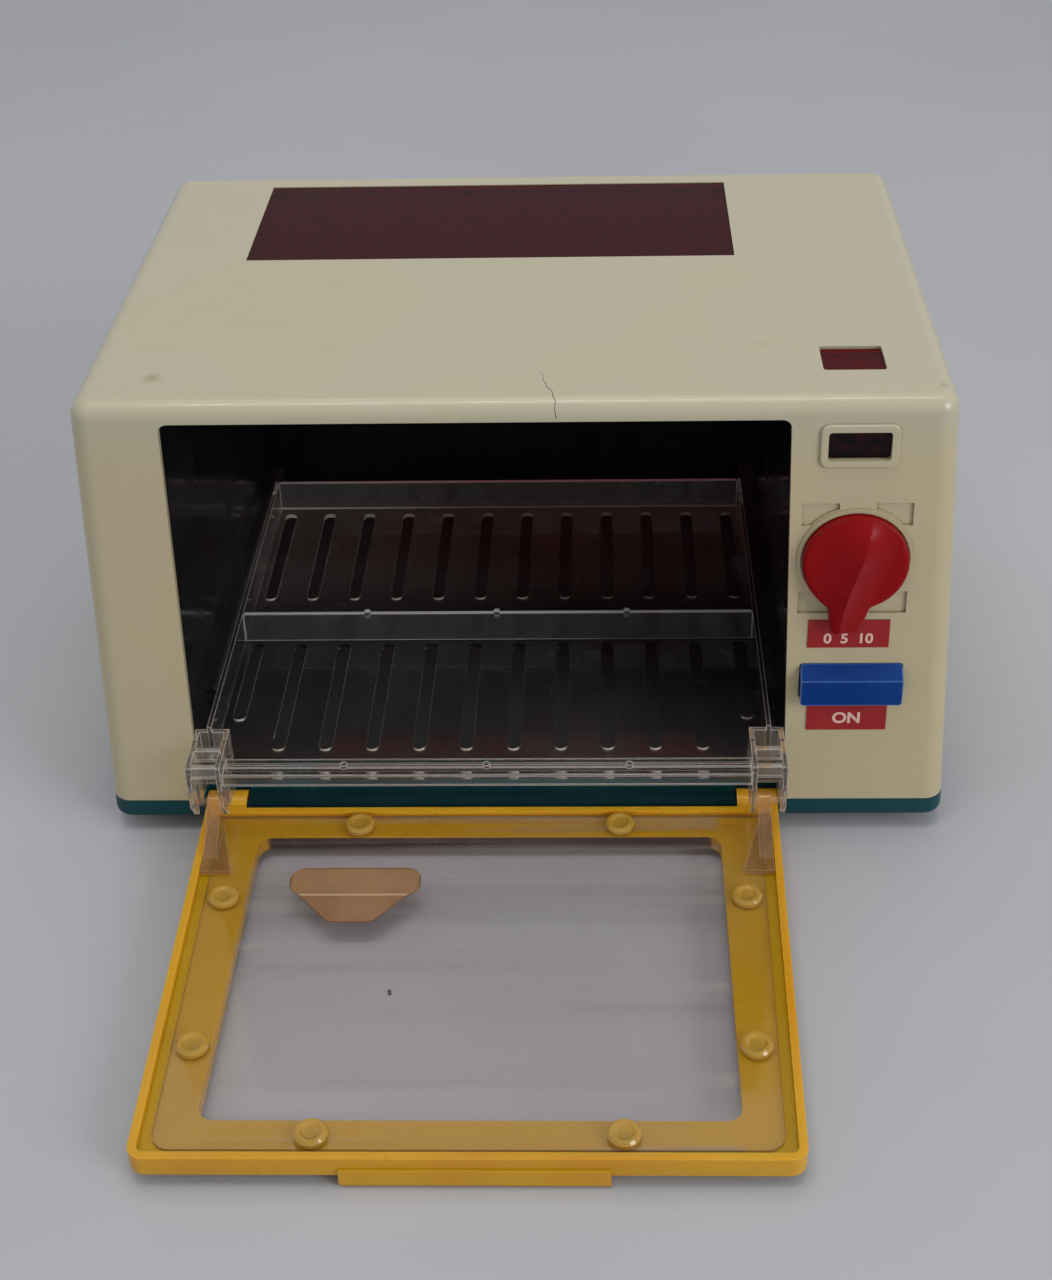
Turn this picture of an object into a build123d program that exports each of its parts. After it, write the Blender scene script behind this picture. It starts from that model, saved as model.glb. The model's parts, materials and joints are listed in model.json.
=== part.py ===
"""Toy microwave oven with a drop-down door that pushes its tray in as it closes.

Millimetres. X to the right, Y to the back, Z up. The origin is the middle of the
base's outline on the floor. The door is modelled open and level, as it rests.
"""
from build123d import *
from math import cos, hypot, radians, sin, tan
import os

# Cuts run past the faces that they open by this much
overrun = 2.0

# Body: the base's outline at its lower edge, and the lean of its four sides
base_width = 300.0
base_depth = 204.4
total_height = 173.8
plinth_height = 6.0
joint_height = 14.0
body_lean = 2.29
corner_radius = 7.0
top_edge_radius = 6.0
shell_wall = 2.5
roof_wall = 2.5
joint_gap = 0.1

# Mouth of the oven, an inverted U in the shell's front, between a post and the control panel
post_width = 32.6
control_width = 57.4
head_height = 7.1
oven_x = (post_width - control_width) / 2
mouth_half_width = (base_width - post_width - control_width) / 2
mouth_top = total_height - head_height
mouth_taper = 1.19
mouth_corner = 3.0

# Base tray
base_wall = 4.6
base_floor = 2.5
base_edge_radius = 2.5
plinth_inset = 12.0
plinth_rim = 3.0
tongue_thickness = 1.6
tongue_height = 4.0
tongue_gap = 0.2
tongue_share = 0.6
back_tongue_share = 0.85
back_tongue_half = 7.0
sill_height = 12.4
sill_step = 0.8
sill_step_setback = 5.0
riser_setback = 10.0
riser_thickness = 2.0
riser_height = 17.0
liner_rib_thickness = 2.0
liner_rib_shares = (-0.6, 0.0, 0.6)

# Corner columns of the shell, and the screws that hold the base to them
column_radius = 5.0
column_inset = 4.5
column_height = 32.0
screw_radius = 1.5
screw_clearance = 0.2
screw_head_radius = 2.9
screw_head_height = 1.9
screw_head_recess = 3.2
screw_length = 26.0
thread_clearance = 0.04

# Oven liner
liner_wall = 1.5
liner_floor = 1.8
liner_floor_top = 17.3
liner_side_gap = 0.9
liner_end_gap = 0.9
liner_top_gap = 1.7
liner_top = total_height - roof_wall - liner_top_gap
rail_reach = 4.0
rail_height = 4.0
rail_top = 30.1
guide_gap = 0.4
guide_height = 2.2
rail_setback = 38.0
ledge_gap = 0.1

# Windows
window_side_margin = 14.9
window_width = 2 * (mouth_half_width - window_side_margin)
window_length = 69.4
window_back_margin = 19.0
window_setback = base_depth - window_back_margin - window_length / 2
pane_gap = 0.2
window_flange = 3.0
window_flange_thickness = 1.1
flush_drop = 0.3
seat_gap = 0.05
lamp_inset = 38.5
lamp_x = base_width / 2 - lamp_inset
top_lamp_width = 20.7
top_lamp_length = 16.7
top_lamp_setback = 35.0
front_lamp_width = 20.4
front_lamp_height = 10.4
front_lamp_drop = 16.5
front_lamp_z = total_height - front_lamp_drop
bezel_width = 25.5
bezel_height = 15.6
bezel_corner = 3.0
bezel_proud = 1.2
lamp_flange = 2.0
lamp_recess = 1.1
lamp_corner = 1.2
bezel_round = 0.7

# Hinge of the door
hinge_setback = 4.4
hinge_height = 8.8
hinge_pin_radius = 1.25
hinge_pin_length = 18.0
pin_clearance = 0.05

# Door frame, level when open: distances run from the hinge axis
door_top_gap = 0.9
door_side_gap = 2.1
door_length = mouth_top - hinge_height - door_top_gap
door_half_width = mouth_half_width - door_side_gap
door_start = 5.5
door_below_axis = 5.0
door_above_axis = 3.0
deck_above_axis = 0.2
rim_width = 2.6
door_corner = 5.0
door_end_gap = 0.5
ear_width = 14.4
ear_gap = 0.5
glazing_start = 18.5
glazing_end_margin = 16.0
glazing_end = door_length - glazing_end_margin
door_stile = 21.1
glazing_half_width = door_half_width - door_stile
glazing_corner = 5.0
lip_offset = 2.5
lip_x = oven_x + lip_offset
lip_width = 79.8
lip_drop = 3.7
lip_thickness = 3.0
lip_proud = 0.8
door_edge_round = 1.4

# Clear pane on the door and its rivets
pane_thickness = 1.2
pane_margin = 6.2
pane_start = 8.6
pane_end_margin = 4.6
pane_corner = 6.0
rivet_head_radius = 5.1
rivet_head_height = 2.0
rivet_edge = 0.8
rivet_dish_radius = 3.3
rivet_dish_floor = 2.4
rivet_dish_depth = 0.6
rivet_stem_radius = 2.0
rivet_stem_length = 3.2
rivet_fit = 0.05
near_rivet_place = 13.5
far_rivet_margin = 9.8
far_rivet_place = door_length - far_rivet_margin
end_rivet_share = 0.45
end_rivet_offset = end_rivet_share * door_half_width
side_rivet_inset = 12.9
side_rivet_shares = (0.315, 0.725)
pane_label_width = 45.2
pane_label_shoulder = 37.0
pane_label_foot = 15.0
pane_label_length = 25.5
pane_label_bar = 13.0
pane_label_thickness = 0.3
pane_label_share = 0.436
pane_label_x = oven_x - pane_label_share * door_half_width
pane_label_start = 35.3
pane_label_round = 5.5
pane_label_foot_round = 4.0

# Arms on the door whose pegs draw the tray out and push it in
peg_swing = 19.0
peg_radius = 1.5
peg_end = 0.4
arm_thickness = 4.6
arm_boss = 3.0
arm_inset = 5.8
arm_outer = mouth_half_width - arm_inset
arm_foot_start = 12.4
arm_foot_end = 38.0
arm_foot_height = 1.4
arm_slope_end = 32.0
arm_flare_start = 15.5
arm_flare = 6.2
arm_seat_gap = 0.05

# Tray: floor, walls and their heights
tray_floor_top = 32.0
tray_floor = 1.8
tray_wall = 1.6
tray_side_gap = 5.4
tray_half_width = mouth_half_width - tray_side_gap
tray_wall_top = 45.0
tray_end_margin = 37.0
tray_end_setback = base_depth - tray_end_margin
divider_setback = 71.5
tray_ledge = 4.4
ledge_slot_width = 2.3
ledge_slot_start = 18.0
ledge_slot_end = 49.0
hem_setback = -5.5
hem_depth = 8.8
hem_top = 38.0
hem_foot = 33.2
hem_skin = 1.4
bead_height = 0.6
bead_width = 1.2
nub_radius = 1.2
nub_height = 0.9
nub_share = 0.5
nub_spacing = nub_share * tray_half_width
slot_count = 12
slot_margin = 6.5
slot_pitch = 2 * (tray_half_width - slot_margin) / (slot_count - 1)
slot_width = 5.0
front_slot_start = 7.0
slot_to_wall = 1.3
front_slot_end = divider_setback - slot_to_wall
outer_slot_start = 24.0
rear_slot_start = 100.3
slot_to_end = 4.0
rear_slot_end = tray_end_setback - slot_to_end

# Brackets at the tray's front corners, with the slots that the pegs ride in
bracket_front = -16.5
bracket_back = 5.0
bracket_top = 43.0
bracket_foot = 19.0
bracket_plate = 1.6
bracket_side_gap = 1.0
bracket_width = 12.0
bracket_outer = mouth_half_width - bracket_side_gap
bracket_inner = bracket_outer - bracket_width
bracket_bar_height = 4.6
bracket_bar = 2.0
second_bar_setback = -7.3
bracket_leg_slant = 6.0
bracket_leg_tip = 1.0
slot_side_clearance = 0.85
slot_top_clearance = 0.6

# Timer: knob, shaft and clockwork case
knob_inset = 37.7
knob_drop = 59.3
knob_x = base_width / 2 - knob_inset
knob_z = total_height - knob_drop
knob_radius = 17.65
knob_thickness = 4.1
knob_side_gap = 0.5
knob_gap = 0.4
collar_radius = 19.4
collar_proud = 0.8
pocket_span_x = 36.4
pocket_span_z = 42.8
pocket_width = 12.2
pocket_height = 8.6
pocket_depth = 1.0
knob_edge_round = 1.0
grip_height = 6.6
grip_turn = 6.0
grip_crest = 1.6
grip_top_share = 0.82
grip_top_width = 18.5
grip_middle_share = 0.15
grip_middle_width = 30.0
grip_neck_share = 0.8
grip_neck_width = 18.5
crest_top_share = 0.66
crest_end_share = 0.85
crest_middle_share = 0.1
pointer_reach = 26.0
pointer_tip = 8.4
pointer_lift = 2.2
shaft_radius = 3.0
shaft_flat = 0.8
shaft_clearance = 0.05
shaft_in_knob = 7.0
shaft_in_case = 14.0
neck_radius = 5.0
neck_clearance = 0.2
case_radius = 16.5
case_depth = 20.0
case_flange = 1.6
case_flange_width = 26.0
case_flange_height = 46.0
case_screw_offset = 20.0
case_step_radius = 12.0
case_step_depth = 4.0
boss_radius = 3.2
boss_length = 2.0
small_screw_radius = 1.2
small_screw_head_radius = 2.6
small_screw_head_height = 1.6
small_screw_length = 4.6
small_pilot_depth = 3.6

# Labels beside the controls
label_width = 27.6
label_height = 11.1
label_thickness = 0.4
timer_label_inset = 38.2
timer_label_drop = 29.5
timer_label_x = base_width / 2 - timer_label_inset
timer_label_z = knob_z - timer_label_drop

# Power button
button_inset = 36.5
button_drop = 49.0
button_x = base_width / 2 - button_inset
button_z = knob_z - button_drop
power_label_inset = 37.1
power_label_drop = 15.1
power_label_x = base_width / 2 - power_label_inset
power_label_z = button_z - power_label_drop
button_width = 34.8
button_height = 14.0
button_gap = 0.3
button_proud = 5.0
button_crest_share = 0.71
button_wall = 1.6
button_round = 1.3
button_skirt = 9.0
button_flange = 1.3
button_flange_thickness = 1.5
button_travel = 3.0
button_rest_gap = 0.15
spring_peg_length = 3.0
spring_peg_gap = 0.35
spring_drop = 1.6
spring_radius = 3.0
spring_wire = 0.7
spring_turns = 5
post_offset = 13.6
post_radius = 3.0
post_length = 10.4
block_width = 26.0
block_thickness = 2.0
block_margin = 3.4
contact_width = 3.4
contact_height = 1.8
contact_thickness = 0.4
contact_spacing = 14.0
bridge_width = 20.0
contact_stem_radius = 0.8
terminal_length = 5.0

# Lamp behind the two small windows
bulb_radius = 5.6
bulb_base_radius = 4.7
bulb_base_height = 8.0
bulb_setback = 27.0
socket_wall = 1.4
socket_drop = 35.4
socket_foot = total_height - socket_drop
socket_floor = 1.6
socket_height = 8.5
socket_flange_width = 14.0
socket_flange_height = 10.4
socket_flange_thickness = 2.0
socket_web = 3.0
bulb_gap = 0.1
bulb_neck_share = 0.72

# Battery compartment under the controls
cell_radius = 16.6
cell_length = 59.0
cell_cap_radius = 4.8
cell_cap_height = 1.5
cell_count = 2
cell_inset = 35.5
cell_x = base_width / 2 - cell_inset
cell_clearance = 0.5
cell_row_middle = 13.0
cell_floor_gap = 0.3
box_wall = 1.6
contact_plate = 0.5
contact_plate_side = 20.0
contact_plate_corner = 2.5
battery_spring_radius = 6.0
battery_spring_wire = 0.9
battery_spring_turns = 4
battery_spring_space = 7.0
cover_thickness = 1.5
cover_border = 2.4
cover_clearance = 0.3
cover_land = 9.0
cover_screw_inset = 4.5
cover_boss_radius = 2.8
cover_boss_height = 7.0


def lean_at(z):
    """How far the body's leaning sides stand in from the base's outline at a height."""
    return (z - plinth_height) * tan(radians(body_lean))


def side_x(z):
    return base_width / 2 - lean_at(z)


def end_y(z):
    return base_depth / 2 - lean_at(z)


def from_front(setback):
    """Y of a place measured back from the front edge of the base's outline."""
    return setback - base_depth / 2


def mouth_half(z):
    return mouth_half_width - (z - joint_height) * tan(radians(mouth_taper))


def panel(x, z, proud=0):
    """Plane on the leaning front face: x to the right, y up the face, z outwards."""
    outward = Vector(0, -cos(radians(body_lean)), sin(radians(body_lean)))
    on_face = Vector(x, -end_y(z), z)
    return Plane(origin=on_face + outward * proud, x_dir=(1, 0, 0), z_dir=outward)


def rectangle_between(plane_z, x_low, x_high, y_low, y_high):
    """Rectangle at a height, given by its sides."""
    with BuildSketch(Plane.XY.offset(plane_z)) as outline:
        with Locations(((x_low + x_high) / 2, (y_low + y_high) / 2)):
            Rectangle(x_high - x_low, y_high - y_low)
    return outline.sketch


def box_between(low, high):
    """Block given by its low and high corners."""
    with BuildPart() as block:
        with BuildSketch(Plane.XY.offset(low[2])):
            with Locations(((low[0] + high[0]) / 2, (low[1] + high[1]) / 2)):
                Rectangle(high[0] - low[0], high[1] - low[1])
        extrude(amount=high[2] - low[2])
    return block.part


def steep_edges(block):
    """Edges that climb rather than lie level."""
    steep = cos(radians(45))
    return block.edges().filter_by(lambda edge: abs((edge @ 1 - edge @ 0).normalized().Z) > steep)


def leaning_block(z_low, z_high, inset, corner, top_edge):
    """Block with the body's lean, rounded corners and a rounded top edge."""
    with BuildPart() as block:
        with BuildSketch(Plane.XY.offset(z_low)):
            Rectangle(2 * (side_x(z_low) - inset), 2 * (end_y(z_low) - inset))
        extrude(amount=z_high - z_low, taper=body_lean)
        fillet(steep_edges(block), corner)
        if top_edge:
            fillet(block.faces().sort_by(Axis.Z)[-1].edges(), top_edge)
    return block.part


def screw(head_radius, head_height, radius, length):
    """Pan-head screw: the head's seat is at the origin, and the shank points up Z."""
    with BuildPart() as body:
        with BuildSketch(Plane.XZ):
            with BuildLine():
                Polyline(
                    (0, -head_height),
                    (0, length),
                    (radius, length - radius),
                    (radius, 0),
                    (head_radius, 0),
                    (head_radius, -head_height / 2),
                )
                TangentArc((0, -head_height), (head_radius, -head_height / 2), tangent=(1, 0))
            make_face()
        revolve(axis=Axis.Z)
    return body.part


def coil(radius, wire, turns, length):
    """Open coil spring up Z from its lower flat end, wound from half-turn arcs."""
    half_turns = 2 * turns
    rise = (length - 2 * wire) / half_turns
    with BuildPart() as spring:
        with BuildLine() as path:
            for n in range(half_turns):
                side = 1 if n % 2 == 0 else -1
                start_z = wire + n * rise
                ThreePointArc(
                    (side * radius, 0, start_z),
                    (0, side * radius, start_z + rise / 2),
                    (-side * radius, 0, start_z + rise),
                )
        with BuildSketch(Plane(origin=path.line @ 0, z_dir=path.line % 0)):
            Circle(wire / 2)
        sweep()
    return spring.part


# Places that several pieces share
hinge_y = from_front(hinge_setback)
door_foot_z = hinge_height - door_below_axis
door_rim_z = hinge_height + door_above_axis
deck_z = hinge_height + deck_above_axis
closing_angle = 90.0 + body_lean
peg_setback = hinge_setback - peg_swing * sin(radians(closing_angle / 2))
peg_height = hinge_height + peg_swing * cos(radians(closing_angle / 2))
peg_peak = hinge_height + peg_swing
tray_travel = 2 * peg_swing * sin(radians(closing_angle / 2))
column_x = side_x(joint_height) - shell_wall - column_inset
column_y = end_y(joint_height) - shell_wall - column_inset
columns = [(sx * column_x, sy * column_y) for sx in (-1, 1) for sy in (-1, 1)]
roof_under = total_height - roof_wall
shell_foot = joint_height + joint_gap
lamp_y = from_front(bulb_setback)
cell_row = cell_count * (cell_length + cell_cap_height)
box_length = cell_row + battery_spring_space + 2 * contact_plate + cell_clearance
box_front = cell_row_middle - box_length / 2
box_back = cell_row_middle + box_length / 2
box_half = cell_radius + cell_clearance
cell_axis_z = plinth_height + cover_thickness + cell_floor_gap + cell_radius
floor_z = plinth_height + base_floor
rivet_places = [
    (oven_x + side * end_rivet_offset, hinge_y - place)
    for side in (-1, 1)
    for place in (near_rivet_place, far_rivet_place)
] + [
    (
        oven_x + side * (door_half_width - place * tan(radians(mouth_taper)) - side_rivet_inset),
        hinge_y - place,
    )
    for side in (-1, 1)
    for place in [share * door_length for share in side_rivet_shares]
]
yoke_front = from_front(bracket_front)
yoke_slot_front = from_front(peg_setback) - peg_radius - slot_side_clearance
yoke_slot_back = from_front(peg_setback) + peg_radius + slot_side_clearance
yoke_slot_top = peg_peak + peg_radius + slot_top_clearance


def door_half(u):
    """Half the door's width at a distance from the hinge axis."""
    return door_half_width - u * tan(radians(mouth_taper))


def door_outline(inset, start, corner):
    """The door's tapered plan from a start to its far end, drawn in from its edge."""
    near, far = start, door_length - inset
    with BuildSketch() as outline:
        with BuildLine():
            Polyline(
                (oven_x - door_half(near) + inset, hinge_y - near),
                (oven_x - door_half(far) + inset, hinge_y - far),
                (oven_x + door_half(far) - inset, hinge_y - far),
                (oven_x + door_half(near) - inset, hinge_y - near),
                close=True,
            )
        make_face()
        if corner:
            fillet(outline.vertices(), corner)
    return outline.sketch


# Outer shell: hollow leaning case, open below, with its windows and panel features
shell_core = leaning_block(
    shell_foot - overrun, roof_under, shell_wall, corner_radius - shell_wall, top_edge_radius - shell_wall
)

with BuildPart() as mouth_cut:
    with BuildSketch(Plane.XZ.offset(base_depth / 2 + overrun)) as mouth:
        foot_z = shell_foot - overrun
        with BuildLine():
            Polyline(
                (oven_x - mouth_half(foot_z), foot_z),
                (oven_x - mouth_half(mouth_top), mouth_top),
                (oven_x + mouth_half(mouth_top), mouth_top),
                (oven_x + mouth_half(foot_z), foot_z),
                close=True,
            )
        make_face()
        fillet(mouth.vertices().group_by(Axis.Y)[-1], mouth_corner)
    extrude(amount=-(overrun + base_depth / 4))

with BuildPart() as outer_shell:
    add(leaning_block(shell_foot, total_height, 0, corner_radius, top_edge_radius))
    add(shell_core, mode=Mode.SUBTRACT)
    # Screw columns stand in the four corners, sunk a little into the walls
    with BuildSketch(Plane.XY.offset(shell_foot)):
        with Locations(columns):
            Circle(column_radius)
    extrude(amount=column_height)
    with BuildSketch(Plane.XY.offset(shell_foot)):
        with Locations(columns):
            Circle(screw_radius + thread_clearance)
    extrude(amount=screw_length, mode=Mode.SUBTRACT)
    add(mouth_cut.part, mode=Mode.SUBTRACT)
    # Roof windows
    with BuildSketch(Plane.XY.offset(roof_under - overrun)):
        with Locations((oven_x, from_front(window_setback))):
            Rectangle(window_width, window_length)
        with Locations((lamp_x, from_front(top_lamp_setback))):
            RectangleRounded(top_lamp_width, top_lamp_length, lamp_corner)
    extrude(amount=roof_wall + 2 * overrun, mode=Mode.SUBTRACT)
    # Collar round the knob, and four pockets that square it off
    with BuildSketch(panel(knob_x, knob_z)):
        Circle(collar_radius)
        Circle(knob_radius + knob_side_gap, mode=Mode.SUBTRACT)
    extrude(amount=collar_proud)
    with BuildSketch(panel(knob_x, knob_z, -pocket_depth)):
        span_x = pocket_span_x - pocket_width
        span_z = pocket_span_z - pocket_height
        with GridLocations(span_x, span_z, 2, 2):
            Rectangle(pocket_width, pocket_height)
        Circle(collar_radius + knob_side_gap, mode=Mode.SUBTRACT)
    extrude(amount=pocket_depth + overrun, mode=Mode.SUBTRACT)
    with BuildSketch(panel(knob_x, knob_z, -shell_wall - overrun)):
        Circle(neck_radius + neck_clearance)
    extrude(amount=shell_wall + collar_proud + 2 * overrun, mode=Mode.SUBTRACT)
    # Bezel round the front lamp window
    lamp_plane = panel(lamp_x, front_lamp_z)
    with BuildSketch(lamp_plane):
        RectangleRounded(bezel_width, bezel_height, bezel_corner)
    extrude(amount=bezel_proud)
    bezel_face = outer_shell.faces().sort_by(Axis(lamp_plane.origin, lamp_plane.z_dir))[-1]
    fillet(bezel_face.edges(), bezel_round)
    with BuildSketch(panel(lamp_x, front_lamp_z, -shell_wall - overrun)):
        RectangleRounded(front_lamp_width, front_lamp_height, lamp_corner)
    extrude(amount=shell_wall + bezel_proud + 2 * overrun, mode=Mode.SUBTRACT)
    # Slot for the power button
    with BuildSketch(panel(button_x, button_z, -shell_wall - overrun)):
        RectangleRounded(button_width + 2 * button_gap, button_height + 2 * button_gap, button_round)
    extrude(amount=shell_wall + 2 * overrun, mode=Mode.SUBTRACT)
    # Bosses inside the front for the timer, the switch posts and the lamp socket
    with BuildSketch(panel(knob_x, knob_z, -shell_wall - boss_length)):
        with Locations((0, case_screw_offset), (0, -case_screw_offset)):
            Circle(boss_radius)
    extrude(amount=boss_length + shell_wall / 2)
    with BuildSketch(panel(knob_x, knob_z, -shell_wall - boss_length)):
        with Locations((0, case_screw_offset), (0, -case_screw_offset)):
            Circle(small_screw_radius + thread_clearance)
    extrude(amount=small_pilot_depth, mode=Mode.SUBTRACT)
    with BuildSketch(panel(button_x, button_z, -shell_wall - post_length)):
        with Locations((0, post_offset), (0, -post_offset)):
            Circle(post_radius)
    extrude(amount=post_length + shell_wall / 2)
    with BuildSketch(panel(button_x, button_z, -shell_wall - post_length)):
        with Locations((0, post_offset), (0, -post_offset)):
            Circle(small_screw_radius + thread_clearance)
    extrude(amount=small_pilot_depth, mode=Mode.SUBTRACT)
outer_shell.part.label = "outer_shell"

# Base tray: shallow pan with a plinth, a sill for the door and hinge blocks at its ends
sill_half = door_half_width + door_end_gap
ear_inner = door_half_width - ear_width
cover_screw_places = [
    (cell_x, box_front - cover_screw_inset),
    (cell_x, box_back + cover_screw_inset),
]
ribs_front = from_front(riser_setback + riser_thickness)
ribs_back = end_y(joint_height) - base_wall
tongue_inset = shell_wall + tongue_gap
tongue_top = joint_height + tongue_height

with BuildPart() as base_tray:
    add(leaning_block(plinth_height, joint_height, 0, corner_radius, 0))
    fillet(base_tray.faces().sort_by(Axis.Z)[0].edges(), base_edge_radius)
    add(
        box_between(
            (-side_x(joint_height) + base_wall, ribs_front, floor_z),
            (side_x(joint_height) - base_wall, ribs_back, joint_height + overrun),
        ),
        mode=Mode.SUBTRACT,
    )
    # Plinth that the toy stands on
    with BuildSketch():
        plinth_size = (base_width - 2 * plinth_inset, base_depth - 2 * plinth_inset)
        RectangleRounded(*plinth_size, corner_radius)
        offset(amount=-plinth_rim, mode=Mode.SUBTRACT)
    extrude(amount=plinth_height + base_floor / 2)
    # Riser behind the sill
    add(
        box_between(
            (oven_x - sill_half, from_front(riser_setback), joint_height - overrun),
            (oven_x + sill_half, from_front(riser_setback + riser_thickness), riser_height),
        )
    )
    # Bosses under the shell's columns
    with BuildSketch(Plane.XY.offset(floor_z - base_floor / 2)):
        with Locations(columns):
            Circle(column_radius)
    extrude(amount=joint_height - floor_z + base_floor / 2)
    # Ribs that carry the oven liner
    for share in liner_rib_shares:
        rib_x = oven_x + share * mouth_half_width
        add(
            box_between(
                (rib_x - liner_rib_thickness / 2, ribs_front, floor_z - base_floor / 2),
                (rib_x + liner_rib_thickness / 2, ribs_back, liner_floor_top - liner_floor - joint_gap),
            )
        )
    # Tongues that locate the shell on its two sides and its back
    for side in (-1, 1):
        outer_face = side * (side_x(tongue_top) - tongue_inset)
        inner_face = side * (side_x(tongue_top) - tongue_inset - tongue_thickness)
        tongue_half = tongue_share * base_depth / 2
        add(
            box_between(
                (min(outer_face, inner_face), -tongue_half, joint_height - overrun),
                (max(outer_face, inner_face), tongue_half, tongue_top),
            )
        )
    for side in (-1, 1):
        tongue_x = side * back_tongue_share * side_x(tongue_top)
        add(
            box_between(
                (
                    tongue_x - back_tongue_half,
                    end_y(tongue_top) - tongue_inset - tongue_thickness,
                    joint_height - overrun,
                ),
                (tongue_x + back_tongue_half, end_y(tongue_top) - tongue_inset, tongue_top),
            )
        )
    # Sill in front of the riser, with a low step, cut down from the front beam
    add(
        box_between(
            (oven_x - sill_half, from_front(-overrun), sill_height),
            (oven_x + sill_half, from_front(sill_step_setback), joint_height + overrun),
        ),
        mode=Mode.SUBTRACT,
    )
    add(
        box_between(
            (oven_x - sill_half, from_front(0), sill_height + sill_step),
            (oven_x + sill_half, from_front(riser_setback), joint_height + overrun),
        ),
        mode=Mode.SUBTRACT,
    )
    # Notches where the door's ears turn, and the bores for the hinge pins
    for side in (-1, 1):
        notch = sorted((oven_x + side * (ear_inner - ear_gap), oven_x + side * sill_half))
        add(
            box_between(
                (notch[0], from_front(-overrun), plinth_height - overrun),
                (notch[1], from_front(riser_setback), joint_height + overrun),
            ),
            mode=Mode.SUBTRACT,
        )
        with BuildSketch(Plane.YZ.offset(oven_x + side * sill_half)):
            with Locations((hinge_y, hinge_height)):
                Circle(hinge_pin_radius + pin_clearance)
        extrude(amount=side * hinge_pin_length / 2, mode=Mode.SUBTRACT)
    # Screw holes with sunk heads
    with BuildSketch(Plane.XY.offset(plinth_height - overrun)):
        with Locations(columns):
            Circle(screw_radius + screw_clearance)
    extrude(amount=joint_height + 2 * overrun, mode=Mode.SUBTRACT)
    with BuildSketch(Plane.XY.offset(plinth_height - overrun)):
        with Locations(columns):
            Circle(screw_head_radius + screw_clearance)
    extrude(amount=screw_head_recess + overrun, mode=Mode.SUBTRACT)
    # Bosses for the battery cover's screws, at the two ends of its rebate
    with BuildSketch(Plane.XY.offset(floor_z - base_floor / 2)):
        with Locations(cover_screw_places):
            Circle(cover_boss_radius)
    extrude(amount=cover_boss_height)
    # Rebate for the cover, the opening over the cells and the screws' pilot holes
    add(
        box_between(
            (cell_x - box_half - cover_border, box_front - cover_land, plinth_height - overrun),
            (cell_x + box_half + cover_border, box_back + cover_land, plinth_height + cover_thickness),
        ),
        mode=Mode.SUBTRACT,
    )
    add(
        box_between(
            (cell_x - box_half, box_front, plinth_height - overrun),
            (cell_x + box_half, box_back, floor_z + overrun),
        ),
        mode=Mode.SUBTRACT,
    )
    with BuildSketch(Plane.XY.offset(plinth_height)):
        with Locations(cover_screw_places):
            Circle(small_screw_radius + thread_clearance)
    extrude(amount=cover_thickness + small_screw_length, mode=Mode.SUBTRACT)
base_tray.part.label = "base_tray"

# Oven liner: black box behind the mouth, with rails for the tray on its two sides
liner_low_z = liner_floor_top - liner_floor


def liner_back(z, wall):
    return end_y(z) - shell_wall - liner_end_gap - liner_wall + wall


def liner_section(z, wall, beyond):
    """Level section of the liner's box, grown by a wall and reaching out beyond its front."""
    half = mouth_half(z) + wall
    front = -end_y(z) + shell_wall + liner_side_gap - beyond
    return rectangle_between(z, oven_x - half, oven_x + half, front, liner_back(z, wall))


with BuildPart() as oven_liner:
    loft(
        sections=[
            liner_section(liner_low_z, liner_wall, 0),
            liner_section(liner_top, liner_wall, 0),
        ],
        ruled=True,
    )
    ceiling_z = liner_top - liner_wall
    loft(
        sections=[
            liner_section(liner_floor_top, 0, overrun),
            liner_section(ceiling_z, 0, overrun),
        ],
        ruled=True,
        mode=Mode.SUBTRACT,
    )
    # The floor stops behind the riser
    add(
        box_between(
            (oven_x - sill_half - guide_gap, from_front(0), liner_low_z - overrun),
            (
                oven_x + sill_half + guide_gap,
                from_front(riser_setback + riser_thickness) + liner_side_gap,
                liner_floor_top + overrun,
            ),
        ),
        mode=Mode.SUBTRACT,
    )
    # Light from the roof window comes through the ceiling
    with BuildSketch(Plane.XY.offset(ceiling_z - overrun)):
        with Locations((oven_x, from_front(window_setback))):
            Rectangle(window_width, window_length)
    extrude(amount=liner_wall + 2 * overrun, mode=Mode.SUBTRACT)
    # A rail under each ledge of the tray and a guide over it
    rail_front = from_front(rail_setback)
    guide_low = rail_top + ledge_gap + tray_floor + guide_gap
    for side in (-1, 1):
        outer = oven_x + side * (mouth_half(rail_top) + liner_wall / 2)
        inner = oven_x + side * (mouth_half_width - rail_reach)
        for low, high in ((rail_top - rail_height, rail_top), (guide_low, guide_low + guide_height)):
            add(
                box_between(
                    (min(outer, inner), rail_front, low),
                    (max(outer, inner), liner_back(high, liner_wall / 2), high),
                )
            )
oven_liner.part.label = "oven_liner"

# Panes over the oven and the lamp, each with a flange inside the shell
with BuildPart() as top_window:
    with BuildSketch(Plane.XY.offset(roof_under - seat_gap - window_flange_thickness)):
        with Locations((oven_x, from_front(window_setback))):
            Rectangle(window_width + 2 * window_flange, window_length + 2 * window_flange)
    extrude(amount=window_flange_thickness)
    with BuildSketch(Plane.XY.offset(roof_under - seat_gap - window_flange_thickness)):
        with Locations((oven_x, from_front(window_setback))):
            Rectangle(window_width - 2 * pane_gap, window_length - 2 * pane_gap)
    extrude(amount=window_flange_thickness + seat_gap + roof_wall - flush_drop)
top_window.part.label = "top_window"

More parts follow.
